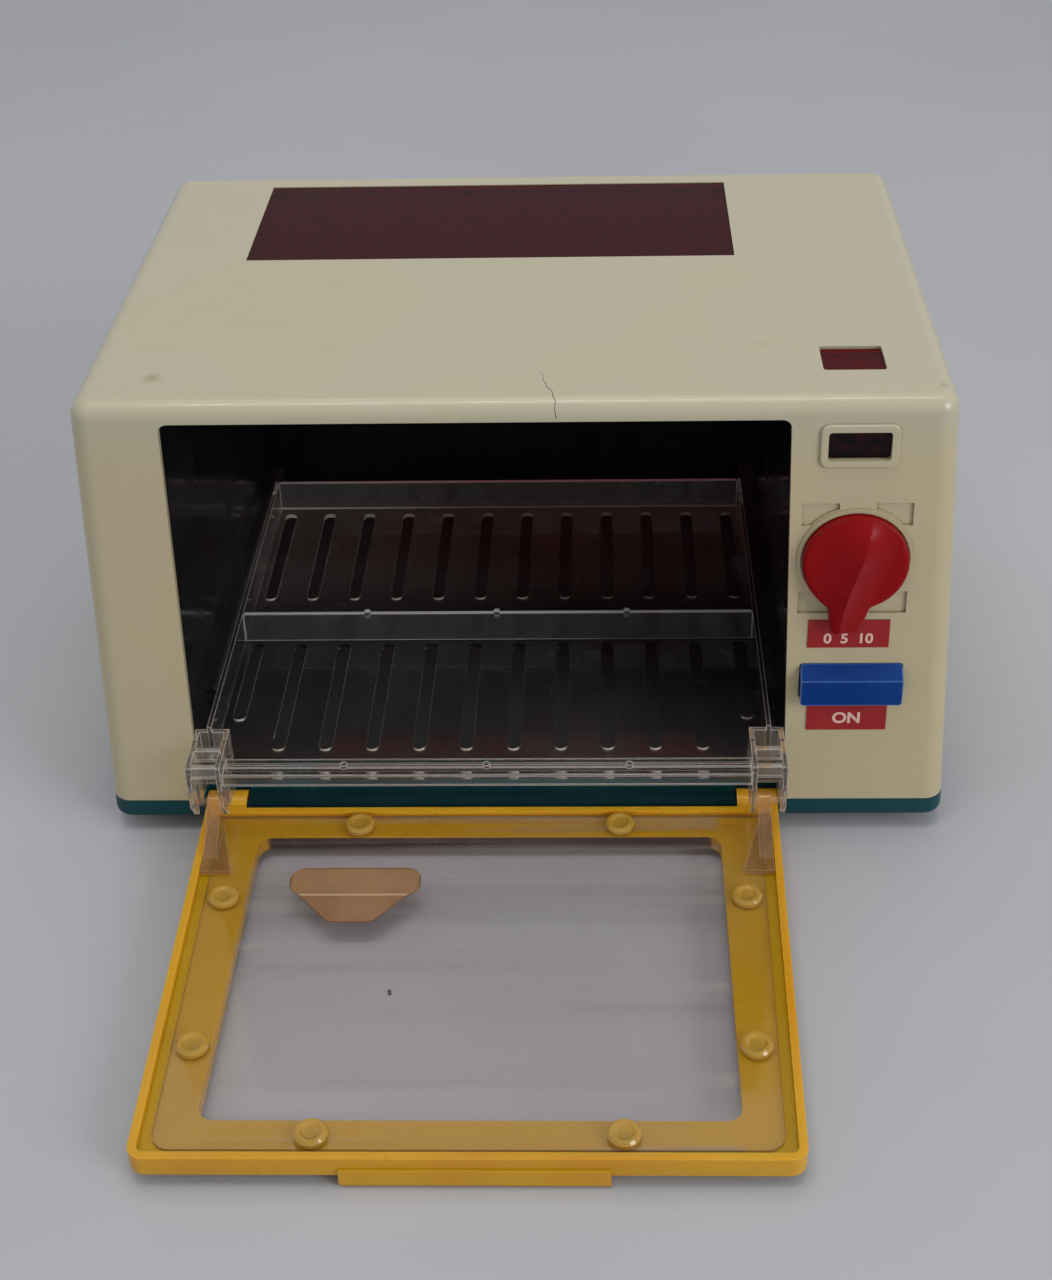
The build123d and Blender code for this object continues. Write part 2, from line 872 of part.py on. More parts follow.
with BuildPart() as lamp_window_top:
    with BuildSketch(Plane.XY.offset(roof_under - seat_gap - window_flange_thickness)):
        with Locations((lamp_x, from_front(top_lamp_setback))):
            Rectangle(top_lamp_width + 2 * lamp_flange, top_lamp_length + 2 * lamp_flange)
    extrude(amount=window_flange_thickness)
    with BuildSketch(Plane.XY.offset(roof_under - seat_gap - window_flange_thickness)):
        with Locations((lamp_x, from_front(top_lamp_setback))):
            lamp_size = (top_lamp_width - 2 * pane_gap, top_lamp_length - 2 * pane_gap)
            RectangleRounded(*lamp_size, lamp_corner)
    extrude(amount=window_flange_thickness + seat_gap + roof_wall - lamp_recess)
lamp_window_top.part.label = "lamp_window_top"

with BuildPart() as lamp_window_front:
    with BuildSketch(panel(lamp_x, front_lamp_z, -shell_wall - seat_gap - window_flange_thickness)):
        Rectangle(front_lamp_width + 2 * lamp_flange, front_lamp_height + 2 * lamp_flange)
    extrude(amount=window_flange_thickness)
    with BuildSketch(panel(lamp_x, front_lamp_z, -shell_wall - seat_gap - window_flange_thickness)):
        RectangleRounded(front_lamp_width - 2 * pane_gap, front_lamp_height - 2 * pane_gap, lamp_corner)
    extrude(amount=window_flange_thickness + seat_gap + shell_wall - lamp_recess)
lamp_window_front.part.label = "lamp_window_front"

# Labels on the control panel
with BuildPart() as timer_label:
    with BuildSketch(panel(timer_label_x, timer_label_z)):
        Rectangle(label_width, label_height)
    extrude(amount=label_thickness)
timer_label.part.label = "timer_label"

with BuildPart() as power_label:
    with BuildSketch(panel(power_label_x, power_label_z)):
        Rectangle(label_width, label_height)
    extrude(amount=label_thickness)
power_label.part.label = "power_label"

# Door frame: open frame with a raised rim, ears on the hinge axis and a pull lip
with BuildPart() as door_frame:
    with BuildSketch(Plane.XY.offset(door_foot_z)):
        add(door_outline(0, door_start, 0))
    extrude(amount=door_rim_z - door_foot_z)
    fillet(door_frame.edges().filter_by(Axis.Z).group_by(Axis.Y)[0], door_corner)
    fillet(door_frame.faces().sort_by(Axis.Z)[0].edges().group_by(Axis.Y)[0], door_edge_round)
    with BuildSketch(Plane.XY.offset(deck_z)):
        add(door_outline(rim_width, door_start + rim_width, door_corner - rim_width))
    extrude(amount=door_rim_z - deck_z + overrun, mode=Mode.SUBTRACT)
    # Ears round the hinge axis
    for side in (-1, 1):
        with BuildSketch(Plane.YZ.offset(oven_x + side * ear_inner)):
            with Locations((hinge_y, hinge_height)):
                Circle(door_below_axis)
            with BuildLine():
                Polyline(
                    (hinge_y, door_foot_z),
                    (hinge_y - door_start - rim_width, door_foot_z),
                    (hinge_y - door_start - rim_width, door_rim_z),
                    (hinge_y, door_rim_z),
                    close=True,
                )
            make_face()
        extrude(amount=side * ear_width)
        with BuildSketch(Plane.YZ.offset(oven_x + side * door_half_width)):
            with Locations((hinge_y, hinge_height)):
                Circle(hinge_pin_radius + pin_clearance)
        extrude(amount=-side * (hinge_pin_length / 2 + pin_clearance), mode=Mode.SUBTRACT)
    # Window opening
    with BuildSketch(Plane.XY.offset(door_foot_z - overrun)):
        with Locations((oven_x, hinge_y - (glazing_start + glazing_end) / 2)):
            RectangleRounded(2 * glazing_half_width, glazing_end - glazing_start, glazing_corner)
    extrude(amount=deck_z - door_foot_z + 2 * overrun, mode=Mode.SUBTRACT)
    # Pull lip under the far edge, with a rounded nose
    lip_back = hinge_y - door_length - lip_proud
    with BuildSketch(Plane.YZ.offset(lip_x - lip_width / 2)):
        with BuildLine():
            Polyline(
                (lip_back, door_foot_z + lip_drop),
                (lip_back, door_foot_z - lip_drop + lip_thickness / 2),
            )
            ThreePointArc(
                (lip_back, door_foot_z - lip_drop + lip_thickness / 2),
                (lip_back + lip_thickness / 2, door_foot_z - lip_drop),
                (lip_back + lip_thickness, door_foot_z - lip_drop + lip_thickness / 2),
            )
            Polyline(
                (lip_back + lip_thickness, door_foot_z - lip_drop + lip_thickness / 2),
                (lip_back + lip_thickness, door_foot_z + lip_drop),
                (lip_back, door_foot_z + lip_drop),
            )
        make_face()
    extrude(amount=lip_width)
    # Rivet holes
    with BuildSketch(Plane.XY.offset(deck_z - rivet_stem_length)):
        with Locations(rivet_places):
            Circle(rivet_stem_radius + rivet_fit)
    extrude(amount=rivet_stem_length, mode=Mode.SUBTRACT)
door_frame.part.label = "door_frame"

# Clear sheet on the inner side of the door, and the round heads that hold it
pane_low = deck_z + seat_gap
pane_high = pane_low + pane_thickness

with BuildPart() as door_pane:
    with BuildSketch(Plane.XY.offset(pane_low)):
        with BuildLine():
            pane_far = door_length - pane_end_margin
            Polyline(
                (oven_x - door_half(pane_start) + pane_margin, hinge_y - pane_start),
                (oven_x - door_half(pane_far) + pane_margin, hinge_y - pane_far),
                (oven_x + door_half(pane_far) - pane_margin, hinge_y - pane_far),
                (oven_x + door_half(pane_start) - pane_margin, hinge_y - pane_start),
                close=True,
            )
        make_face()
    extrude(amount=pane_thickness)
    fillet(door_pane.edges().filter_by(Axis.Z).group_by(Axis.Y)[0], pane_corner)
    with BuildSketch(Plane.XY.offset(pane_low)):
        with Locations(rivet_places):
            Circle(rivet_stem_radius + rivet_fit)
    extrude(amount=pane_thickness, mode=Mode.SUBTRACT)
door_pane.part.label = "door_pane"

with BuildPart() as rivet:
    with BuildSketch(Plane.XZ):
        with BuildLine():
            Polyline(
                (0, -rivet_stem_length - pane_thickness),
                (rivet_stem_radius, -rivet_stem_length - pane_thickness),
                (rivet_stem_radius, 0),
                (rivet_head_radius, 0),
                (rivet_head_radius, rivet_head_height - rivet_edge),
                (rivet_head_radius - rivet_edge, rivet_head_height),
                (rivet_dish_radius, rivet_head_height),
                (rivet_dish_floor, rivet_head_height - rivet_dish_depth),
                (0, rivet_head_height - rivet_dish_depth),
                close=True,
            )
        make_face()
    revolve(axis=Axis.Z)

with BuildPart() as pane_rivets:
    with Locations([(x, y, pane_high + seat_gap) for x, y in rivet_places]):
        add(rivet.part)
pane_rivets.part.label = "pane_rivets"

# Plain label on the sheet: a wide bar towards the hinge, and a foot that narrows away from it
with BuildPart() as door_label:
    label_y = hinge_y - pane_label_start
    bar_y = label_y - pane_label_bar
    with BuildSketch(Plane.XY.offset(pane_high + seat_gap)) as label_outline:
        with Locations((pane_label_x, label_y - pane_label_bar / 2)):
            RectangleRounded(pane_label_width, pane_label_bar, pane_label_round)
        with BuildLine():
            Polyline(
                (pane_label_x - pane_label_shoulder / 2, bar_y + pane_label_round),
                (pane_label_x + pane_label_shoulder / 2, bar_y + pane_label_round),
                (pane_label_x + pane_label_shoulder / 2, bar_y),
                (pane_label_x + pane_label_foot / 2, label_y - pane_label_length),
                (pane_label_x - pane_label_foot / 2, label_y - pane_label_length),
                (pane_label_x - pane_label_shoulder / 2, bar_y),
                close=True,
            )
        make_face()
        fillet(label_outline.vertices().group_by(Axis.Y)[0], pane_label_foot_round)
    extrude(amount=pane_label_thickness)
door_label.part.label = "door_label"


def door_arm(side):
    """Arm on the clear sheet at one side: a blade, a flared foot and a peg through its boss."""
    outer = oven_x + side * arm_outer
    inner = oven_x + side * (arm_outer - arm_thickness)
    foot_z = pane_high + arm_seat_gap
    peg_y = from_front(peg_setback)
    boss_top_y = peg_y - arm_boss * sin(radians(closing_angle / 2)) / 2
    with BuildPart() as arm:
        with BuildSketch(Plane.YZ.offset(inner)):
            with BuildLine():
                Polyline(
                    (peg_y + arm_boss, peg_height),
                    (hinge_y - arm_foot_start, foot_z),
                    (hinge_y - arm_foot_end, foot_z),
                    (hinge_y - arm_foot_end, foot_z + arm_foot_height),
                    (hinge_y - arm_slope_end, foot_z + arm_foot_height),
                    (boss_top_y, peg_height + arm_boss * cos(radians(closing_angle / 4))),
                    (peg_y + arm_boss, peg_height),
                )
            make_face()
            with Locations((peg_y, peg_height)):
                Circle(arm_boss)
        extrude(amount=outer - inner)
        with BuildSketch(Plane.XY.offset(foot_z)):
            with BuildLine():
                Polyline(
                    (outer, hinge_y - arm_foot_start),
                    (outer, hinge_y - arm_foot_end),
                    (inner - side * arm_flare, hinge_y - arm_foot_end),
                    (inner, hinge_y - arm_flare_start),
                    (inner, hinge_y - arm_foot_start),
                    close=True,
                )
            make_face()
        extrude(amount=arm_foot_height)
        with BuildSketch(Plane.YZ.offset(oven_x + side * (bracket_inner - peg_end))):
            with Locations((peg_y, peg_height)):
                Circle(peg_radius)
        extrude(amount=side * (bracket_outer - bracket_inner))
    return arm.part


with BuildPart() as door_arm_left:
    add(door_arm(-1))
door_arm_left.part.label = "door_arm_left"

with BuildPart() as door_arm_right:
    add(door_arm(1))
door_arm_right.part.label = "door_arm_right"

# Steel pins through the door's ears into the base
with BuildPart() as hinge_pins:
    for side in (-1, 1):
        with BuildSketch(Plane.YZ.offset(oven_x + side * (sill_half - hinge_pin_length / 2))):
            with Locations((hinge_y, hinge_height)):
                Circle(hinge_pin_radius)
        extrude(amount=side * hinge_pin_length)
hinge_pins.part.label = "hinge_pins"

# Sliding tray: floor with ledges, walls, a front hem, two rows of slots and two yokes
tray_under = tray_floor_top - tray_floor
slot_places = [(n - (slot_count - 1) / 2) * slot_pitch for n in range(slot_count)]


def slot_row(start, end, outer_start):
    """Rounded slots along the tray from a start to an end; the outermost two start elsewhere."""
    with BuildSketch(Plane.XY.offset(tray_under - overrun)) as row:
        for n, place in enumerate(slot_places):
            near = outer_start if n in (0, slot_count - 1) else start
            with Locations((oven_x + place, from_front((near + end) / 2))):
                SlotOverall(end - near, slot_width, rotation=90)
    return row.sketch


with BuildPart() as sliding_tray:
    # Floor, narrowed at the front to stand between the yokes
    front_edge = from_front(hem_setback) - hem_skin
    yoke_back = from_front(bracket_back)
    tray_back = from_front(tray_end_setback) + tray_wall
    add(
        box_between(
            (oven_x - bracket_inner, front_edge, tray_under),
            (oven_x + bracket_inner, tray_back, tray_floor_top),
        )
    )
    add(
        box_between(
            (oven_x - tray_half_width - tray_ledge, yoke_back - bracket_plate, tray_under),
            (oven_x + tray_half_width + tray_ledge, from_front(tray_end_setback), tray_floor_top),
        )
    )
    # Side walls and the end wall
    for side in (-1, 1):
        faces = sorted((oven_x + side * tray_half_width, oven_x + side * (tray_half_width - tray_wall)))
        wall_front = yoke_back - bracket_plate
        add(box_between((faces[0], wall_front, tray_under), (faces[1], tray_back, tray_wall_top)))
    add(
        box_between(
            (oven_x - tray_half_width, from_front(tray_end_setback), tray_under),
            (oven_x + tray_half_width, tray_back, tray_wall_top),
        )
    )
    # Cross wall, with nubs on its top
    divider_y = from_front(divider_setback)
    add(
        box_between(
            (oven_x - tray_half_width, divider_y, tray_under),
            (oven_x + tray_half_width, divider_y + tray_wall, tray_wall_top),
        )
    )
    # Front hem: wall, top and lip
    hem_back = from_front(hem_setback)
    hem_front = hem_back - hem_depth
    add(
        box_between(
            (oven_x - bracket_inner, hem_back - hem_skin, tray_under),
            (oven_x + bracket_inner, hem_back, hem_top),
        )
    )
    add(
        box_between(
            (oven_x - bracket_inner, hem_front, hem_top - hem_skin),
            (oven_x + bracket_inner, hem_back, hem_top),
        )
    )
    add(
        box_between(
            (oven_x - bracket_inner, hem_front, hem_foot),
            (oven_x + bracket_inner, hem_front + hem_skin, hem_top),
        )
    )
    with BuildSketch(Plane.XY.offset(hem_top - hem_skin / 2)):
        with Locations((oven_x, (hem_front + hem_back) / 2)):
            Rectangle(2 * bracket_inner, bead_width)
    extrude(amount=hem_skin / 2 + bead_height)
    # Nubs on the hem's bead and on the cross wall
    with BuildSketch(Plane.XY.offset(hem_top)):
        with Locations(*[(oven_x + n * nub_spacing, (hem_front + hem_back) / 2) for n in (-1, 0, 1)]):
            Circle(nub_radius)
    extrude(amount=bead_height + nub_height)
    with BuildSketch(Plane.XY.offset(tray_wall_top - tray_wall)):
        with Locations(*[(oven_x + n * nub_spacing, divider_y + tray_wall / 2) for n in (-1, 0, 1)]):
            Circle(nub_radius)
    extrude(amount=tray_wall + nub_height)
    # Yoke at each front corner: two plates joined by a web behind and two bars on top
    for side in (-1, 1):
        for near in (bracket_inner, bracket_outer - bracket_plate):
            with BuildSketch(Plane.YZ.offset(oven_x + side * near)):
                with BuildLine():
                    Polyline(
                        (yoke_front, bracket_top),
                        (yoke_front, bracket_foot + bracket_leg_slant),
                        (yoke_slot_front - bracket_leg_tip, bracket_foot),
                        (yoke_slot_front, bracket_foot),
                        (yoke_slot_front, yoke_slot_top),
                        (yoke_slot_back, yoke_slot_top),
                        (yoke_slot_back, bracket_foot),
                        (yoke_back, bracket_foot),
                        (yoke_back, bracket_top),
                        close=True,
                    )
                make_face()
            extrude(amount=side * bracket_plate)
        across = sorted((oven_x + side * bracket_inner, oven_x + side * bracket_outer))
        web_front = yoke_back - bracket_plate
        add(box_between((across[0], web_front, bracket_foot), (across[1], yoke_back, bracket_top)))
        for bar_front in (yoke_front, from_front(second_bar_setback)):
            add(
                box_between(
                    (across[0], bar_front, bracket_top - bracket_bar_height),
                    (across[1], bar_front + bracket_bar, bracket_top),
                )
            )
        # Slot along the ledge
        ledge_x = oven_x + side * (tray_half_width + tray_ledge / 2)
        with BuildSketch(Plane.XY.offset(tray_under - overrun)):
            with Locations((ledge_x, from_front((ledge_slot_start + ledge_slot_end) / 2))):
                SlotOverall(ledge_slot_end - ledge_slot_start, ledge_slot_width, rotation=90)
        extrude(amount=tray_floor + 2 * overrun, mode=Mode.SUBTRACT)
    # Two rows of slots through the floor
    rows = [
        slot_row(front_slot_start, front_slot_end, outer_slot_start),
        slot_row(rear_slot_start, rear_slot_end, rear_slot_start),
    ]
    for row in rows:
        extrude(row, amount=tray_floor + 2 * overrun, mode=Mode.SUBTRACT)
sliding_tray.part.label = "sliding_tray"


def grip_points(stations):
    """Outline of the grip from stations of half width and height up the face, mirrored."""
    left = [(-half, up) for half, up in stations]
    right = [(half, up) for half, up in reversed(stations)]
    return left + right


# Timer knob: disc with a broad two-sided grip that narrows to a pointer
grip_foot = [
    (grip_top_width / 2, grip_top_share * knob_radius),
    (grip_middle_width / 2, grip_middle_share * knob_radius),
    (grip_neck_width / 2, -grip_neck_share * knob_radius),
    (pointer_tip / 2, -pointer_reach),
]
grip_ridge = [
    (grip_crest / 2, crest_top_share * knob_radius),
    (grip_crest / 2, crest_middle_share * knob_radius),
    (grip_crest / 2, -grip_neck_share * knob_radius / 2),
    (grip_crest / 2, -crest_end_share * knob_radius),
]

with BuildPart() as timer_knob:
    with BuildSketch(panel(knob_x, knob_z, knob_gap)):
        Circle(knob_radius)
    extrude(amount=knob_thickness)
    fillet(timer_knob.faces().sort_by(Axis.Y)[0].edges(), knob_edge_round)
    # Neck behind the disc, through the shell
    with BuildSketch(panel(knob_x, knob_z, knob_gap)):
        Circle(neck_radius)
    extrude(amount=-(knob_gap + shell_wall + boss_length - neck_clearance))
    # Grip: broad facets that rise to a narrow crest, over a foot that narrows to the pointer's tip
    grip_plane = panel(knob_x, knob_z, knob_gap + pointer_lift).rotated((0, 0, -grip_turn))
    with BuildSketch(grip_plane):
        with BuildLine():
            Polyline(*grip_points(grip_foot), close=True)
        make_face()
    with BuildSketch(grip_plane.offset(knob_thickness - pointer_lift + grip_height)):
        with BuildLine():
            Polyline(*grip_points(grip_ridge), close=True)
        make_face()
    loft(ruled=True)
    # Flatted bore for the shaft
    with BuildSketch(panel(knob_x, knob_z, -shell_wall - boss_length - overrun)):
        Circle(shaft_radius + shaft_clearance)
        with Locations((0, shaft_radius + shaft_clearance - shaft_flat / 2)):
            Rectangle(2 * shaft_radius, shaft_flat, mode=Mode.SUBTRACT)
    extrude(amount=shell_wall + boss_length + overrun + knob_gap + shaft_in_knob, mode=Mode.SUBTRACT)
timer_knob.part.label = "timer_knob"

# Flatted shaft from the clockwork into the knob
with BuildPart() as timer_shaft:
    with BuildSketch(panel(knob_x, knob_z, -shell_wall - boss_length - case_flange - shaft_in_case)):
        Circle(shaft_radius)
        with Locations((0, shaft_radius - shaft_flat / 2)):
            Rectangle(2 * shaft_radius, shaft_flat, mode=Mode.SUBTRACT)
    shaft_length = shaft_in_case + case_flange + boss_length + shell_wall + knob_gap + shaft_in_knob
    extrude(amount=shaft_length - shaft_clearance)
timer_shaft.part.label = "timer_shaft"

# Clockwork case on two bosses behind the panel
with BuildPart() as timer_unit:
    with BuildSketch(panel(knob_x, knob_z, -shell_wall - boss_length - seat_gap)):
        RectangleRounded(case_flange_width, case_flange_height, boss_radius)
        with Locations((0, case_screw_offset), (0, -case_screw_offset)):
            Circle(small_screw_radius + screw_clearance, mode=Mode.SUBTRACT)
    extrude(amount=-case_flange)
    with BuildSketch(panel(knob_x, knob_z, -shell_wall - boss_length - seat_gap - case_flange)):
        Circle(case_radius)
    extrude(amount=-case_depth)
    with BuildSketch(panel(knob_x, knob_z, -shell_wall - boss_length - seat_gap - case_flange - case_depth)):
        Circle(case_step_radius)
    extrude(amount=-case_step_depth)
    with BuildSketch(panel(knob_x, knob_z, -shell_wall - boss_length)):
        Circle(shaft_radius + shaft_clearance)
    extrude(amount=-(case_flange + shaft_in_case + overrun), mode=Mode.SUBTRACT)
timer_unit.part.label = "timer_unit"


def small_screw():
    return screw(small_screw_head_radius, small_screw_head_height, small_screw_radius, small_screw_length)


def panel_screws(x, z, reach, seat):
    """Two small screws driven towards the panel from behind, seated at a depth behind its face."""
    with BuildPart() as pair:
        for side in (-1, 1):
            add(panel(x, z, -seat).location * Pos(0, side * reach, 0) * small_screw())
    return pair.part


with BuildPart() as timer_screws:
    case_seat = shell_wall + boss_length + 2 * seat_gap + case_flange
    add(panel_screws(knob_x, knob_z, case_screw_offset, case_seat))
timer_screws.part.label = "timer_screws"

# Power button: hollow wedge key with a flange behind the panel
crest_y = (button_crest_share - 1 / 2) * button_height
slope = (button_height / 2 - crest_y) / button_proud
roof_drop = button_wall * hypot(1, slope)
cavity_front = button_proud - button_wall
cavity_half = button_height / 2 - button_wall
key_plane = panel(button_x, button_z)


def key_section(corner, points):
    """Plane across the key at its left side, with x outwards from the panel and y up it."""
    origin = key_plane.location * Pos(corner, 0, 0)
    side_plane = Plane(
        origin=origin.position, x_dir=key_plane.z_dir, z_dir=key_plane.x_dir * -1
    )
    with BuildSketch(side_plane) as section:
        with BuildLine():
            Polyline(*points, close=True)
        make_face()
    return section.sketch


with BuildPart() as power_button:
    outer_points = [
        (-button_skirt, -button_height / 2),
        (button_proud, -button_height / 2),
        (button_proud, crest_y),
        (0, button_height / 2),
        (-button_skirt, button_height / 2),
    ]
    extrude(key_section(button_width / 2, outer_points), amount=button_width)
    inward_edges = power_button.edges().filter_by(Axis((0, 0, 0), key_plane.z_dir))
    fillet(inward_edges, button_round)
    with BuildSketch(panel(button_x, button_z, -shell_wall - button_rest_gap)):
        flange_out = 2 * (button_gap + button_flange)
        Rectangle(button_width + flange_out, button_height + flange_out)
    extrude(amount=-button_flange_thickness)
    cavity_points = [
        (-button_skirt - overrun, -cavity_half),
        (cavity_front, -cavity_half),
        (cavity_front, button_height / 2 - roof_drop - slope * cavity_front),
        ((button_height / 2 - roof_drop - cavity_half) / slope, cavity_half),
        (-button_skirt - overrun, cavity_half),
    ]
    extrude(
        key_section(button_width / 2 - button_wall, cavity_points),
        amount=button_width - 2 * button_wall,
        mode=Mode.SUBTRACT,
    )
    # Peg that keeps the spring in place
    with BuildSketch(panel(button_x, button_z, cavity_front)):
        with Locations((0, -spring_drop)):
            Circle(spring_radius - spring_wire / 2 - spring_peg_gap)
    extrude(amount=-spring_peg_length)
power_button.part.label = "power_button"

# Bridge on the key's skirt that closes the two contacts
contact_y = -button_height / 2 + contact_height / 2
with BuildPart() as contact_bridge:
    with BuildSketch(panel(button_x, button_z, -button_skirt - seat_gap)):
        with Locations((0, contact_y)):
            Rectangle(bridge_width, contact_height)
    extrude(amount=-contact_thickness)
contact_bridge.part.label = "contact_bridge"

# Switch block on two posts, with the lower spring peg
block_front = shell_wall + post_length + seat_gap
with BuildPart() as switch_block:
    with BuildSketch(panel(button_x, button_z, -block_front)):
        Rectangle(block_width, 2 * (post_offset + block_margin))
        with Locations((0, post_offset), (0, -post_offset)):
            Circle(small_screw_radius + screw_clearance, mode=Mode.SUBTRACT)
        with Locations((contact_spacing / 2, contact_y), (-contact_spacing / 2, contact_y)):
            Circle(contact_stem_radius + pin_clearance, mode=Mode.SUBTRACT)
    extrude(amount=-block_thickness)
    with BuildSketch(panel(button_x, button_z, -block_front)):
        with Locations((0, -spring_drop)):
            Circle(spring_radius - spring_wire / 2 - spring_peg_gap)
    extrude(amount=spring_peg_length)
switch_block.part.label = "switch_block"

with BuildPart() as switch_contacts:
    with BuildSketch(panel(button_x, button_z, -block_front + seat_gap)):
        with Locations((contact_spacing / 2, contact_y), (-contact_spacing / 2, contact_y)):
            Rectangle(contact_width, contact_height)
    extrude(amount=contact_thickness)
    with BuildSketch(panel(button_x, button_z, -block_front + seat_gap)):
        with Locations((contact_spacing / 2, contact_y), (-contact_spacing / 2, contact_y)):
            Circle(contact_stem_radius)
    extrude(amount=-(seat_gap + block_thickness + terminal_length))
switch_contacts.part.label = "switch_contacts"

with BuildPart() as switch_screws:
    add(panel_screws(button_x, button_z, post_offset, block_front + block_thickness + seat_gap))
switch_screws.part.label = "switch_screws"

# Return spring between the block and the key
spring_length = block_front + cavity_front - 2 * seat_gap
with BuildPart() as button_spring:
    spring_seat = panel(button_x, button_z, -block_front + seat_gap).location * Pos(0, -spring_drop, 0)
    add(spring_seat * coil(spring_radius, spring_wire, spring_turns, spring_length))
button_spring.part.label = "button_spring"

# Bulb behind the two small windows, in a socket that hangs from the front wall
socket_outer = bulb_base_radius + bulb_gap + socket_wall
socket_top = socket_foot + socket_floor + socket_height
with BuildPart() as lamp_socket:
    with BuildSketch(Plane.XY.offset(socket_foot)):
        with Locations((lamp_x, lamp_y)):
            Circle(socket_outer)
    extrude(amount=socket_floor + socket_height)
    flange_z = socket_foot + socket_flange_height / 2
    with BuildSketch(panel(lamp_x, flange_z, -shell_wall - seat_gap)):
        Rectangle(socket_flange_width, socket_flange_height)
    extrude(amount=-socket_flange_thickness)
    web_front = -end_y(socket_foot) + shell_wall + socket_flange_thickness
    add(
        box_between(
            (lamp_x - socket_web / 2, web_front, socket_foot),
            (lamp_x + socket_web / 2, lamp_y, socket_foot + socket_height),
        )
    )
    with BuildSketch(Plane.XY.offset(socket_foot + socket_floor)):
        with Locations((lamp_x, lamp_y)):
            Circle(bulb_base_radius + bulb_gap)
    extrude(amount=socket_height + overrun, mode=Mode.SUBTRACT)
lamp_socket.part.label = "lamp_socket"

with BuildPart() as lamp_bulb:
    bulb_foot = socket_foot + socket_floor + seat_gap
    neck_z = bulb_foot + bulb_base_height
    neck = bulb_neck_share * bulb_radius
    ball_z = neck_z + (bulb_radius**2 - neck**2) ** 0.5
    with BuildSketch(Plane.XZ.offset(-lamp_y)):
        with BuildLine():
            Polyline(
                (lamp_x, ball_z + bulb_radius),
                (lamp_x, bulb_foot),
                (lamp_x + bulb_base_radius, bulb_foot),
                (lamp_x + bulb_base_radius, neck_z),
                (lamp_x + neck, neck_z),
            )
            ThreePointArc(
                (lamp_x + neck, neck_z),
                (lamp_x + bulb_radius, ball_z),
                (lamp_x, ball_z + bulb_radius),
            )
        make_face()
    revolve(axis=Axis((lamp_x, lamp_y, 0), (0, 0, 1)))
lamp_bulb.part.label = "lamp_bulb"

# Battery box: arched tunnel over the opening in the base
box_foot = floor_z + seat_gap


def arch(y, half, foot):
    """Upright inverted U across the cells, at a place along their row."""
    with BuildSketch(Plane.XZ.offset(-y)) as section:
        with Locations((cell_x, cell_axis_z)):
            Circle(half)
        with Locations((cell_x, (foot + cell_axis_z) / 2)):
            Rectangle(2 * half, cell_axis_z - foot)
    return section.sketch


with BuildPart() as battery_box:
    extrude(arch(box_back + box_wall, box_half + box_wall, box_foot), amount=box_length + 2 * box_wall)
    extrude(arch(box_back, box_half, box_foot - overrun), amount=box_length, mode=Mode.SUBTRACT)
    add(
        box_between(
            (cell_x - box_half - box_wall, box_front - box_wall, 0),
            (cell_x + box_half + box_wall, box_back + box_wall, box_foot),
        ),
        mode=Mode.SUBTRACT,
    )
battery_box.part.label = "battery_box"

cells_start = box_front + contact_plate + 2 * seat_gap
with BuildPart() as battery_cells:
    for n in range(cell_count):
        start = cells_start + n * (cell_length + cell_cap_height + seat_gap)
        with BuildSketch(Plane.XZ.offset(-start)):
            with Locations((cell_x, cell_axis_z)):
                Circle(cell_cap_radius)
        extrude(amount=-cell_cap_height)
        with BuildSketch(Plane.XZ.offset(-(start + cell_cap_height))):
            with Locations((cell_x, cell_axis_z)):
                Circle(cell_radius)
        extrude(amount=-cell_length)
    ends = battery_cells.edges().filter_by(GeomType.CIRCLE)
    chamfer([edge for edge in ends if edge.radius > cell_radius - cell_clearance], cell_clearance)
battery_cells.part.label = "battery_cells"

with BuildPart() as battery_contacts:
    for plate_y in (box_front + seat_gap, box_back - seat_gap - contact_plate):
        with BuildSketch(Plane.XZ.offset(-plate_y)):
            with Locations((cell_x, cell_axis_z)):
                RectangleRounded(contact_plate_side, contact_plate_side, contact_plate_corner)
        extrude(amount=-contact_plate)
battery_contacts.part.label = "battery_contacts"

with BuildPart() as battery_spring:
    cells_end = cells_start + cell_count * (cell_length + cell_cap_height + seat_gap)
    spring_end = box_back - contact_plate - 2 * seat_gap
    spring_base = Plane(origin=(cell_x, spring_end, cell_axis_z), x_dir=(1, 0, 0), z_dir=(0, -1, 0))
    add(
        spring_base.location
        * coil(battery_spring_radius, battery_spring_wire, battery_spring_turns, spring_end - cells_end)
    )
battery_spring.part.label = "battery_spring"

# Cover in the rebate under the cells, held by a screw at each end
with BuildPart() as battery_cover:
    add(
        box_between(
            (
                cell_x - box_half - cover_border + cover_clearance,
                box_front - cover_land + cover_clearance,
                plinth_height,
            ),
            (
                cell_x + box_half + cover_border - cover_clearance,
                box_back + cover_land - cover_clearance,
                plinth_height + cover_thickness - seat_gap,
            ),
        )
    )
    fillet(battery_cover.edges().filter_by(Axis.Z), cover_thickness)
    with BuildSketch(Plane.XY.offset(plinth_height - overrun)):
        with Locations(cover_screw_places):
            Circle(small_screw_radius + screw_clearance)
    extrude(amount=cover_thickness + 2 * overrun, mode=Mode.SUBTRACT)
battery_cover.part.label = "battery_cover"

with BuildPart() as cover_screws:
    for place in cover_screw_places:
        add(Pos(place[0], place[1], plinth_height - seat_gap) * small_screw())
cover_screws.part.label = "cover_screws"

with BuildPart() as base_screws:
    for place in columns:
        add(
            Pos(place[0], place[1], plinth_height + screw_head_recess - seat_gap)
            * screw(screw_head_radius, screw_head_height, screw_radius, screw_length)
        )
base_screws.part.label = "base_screws"

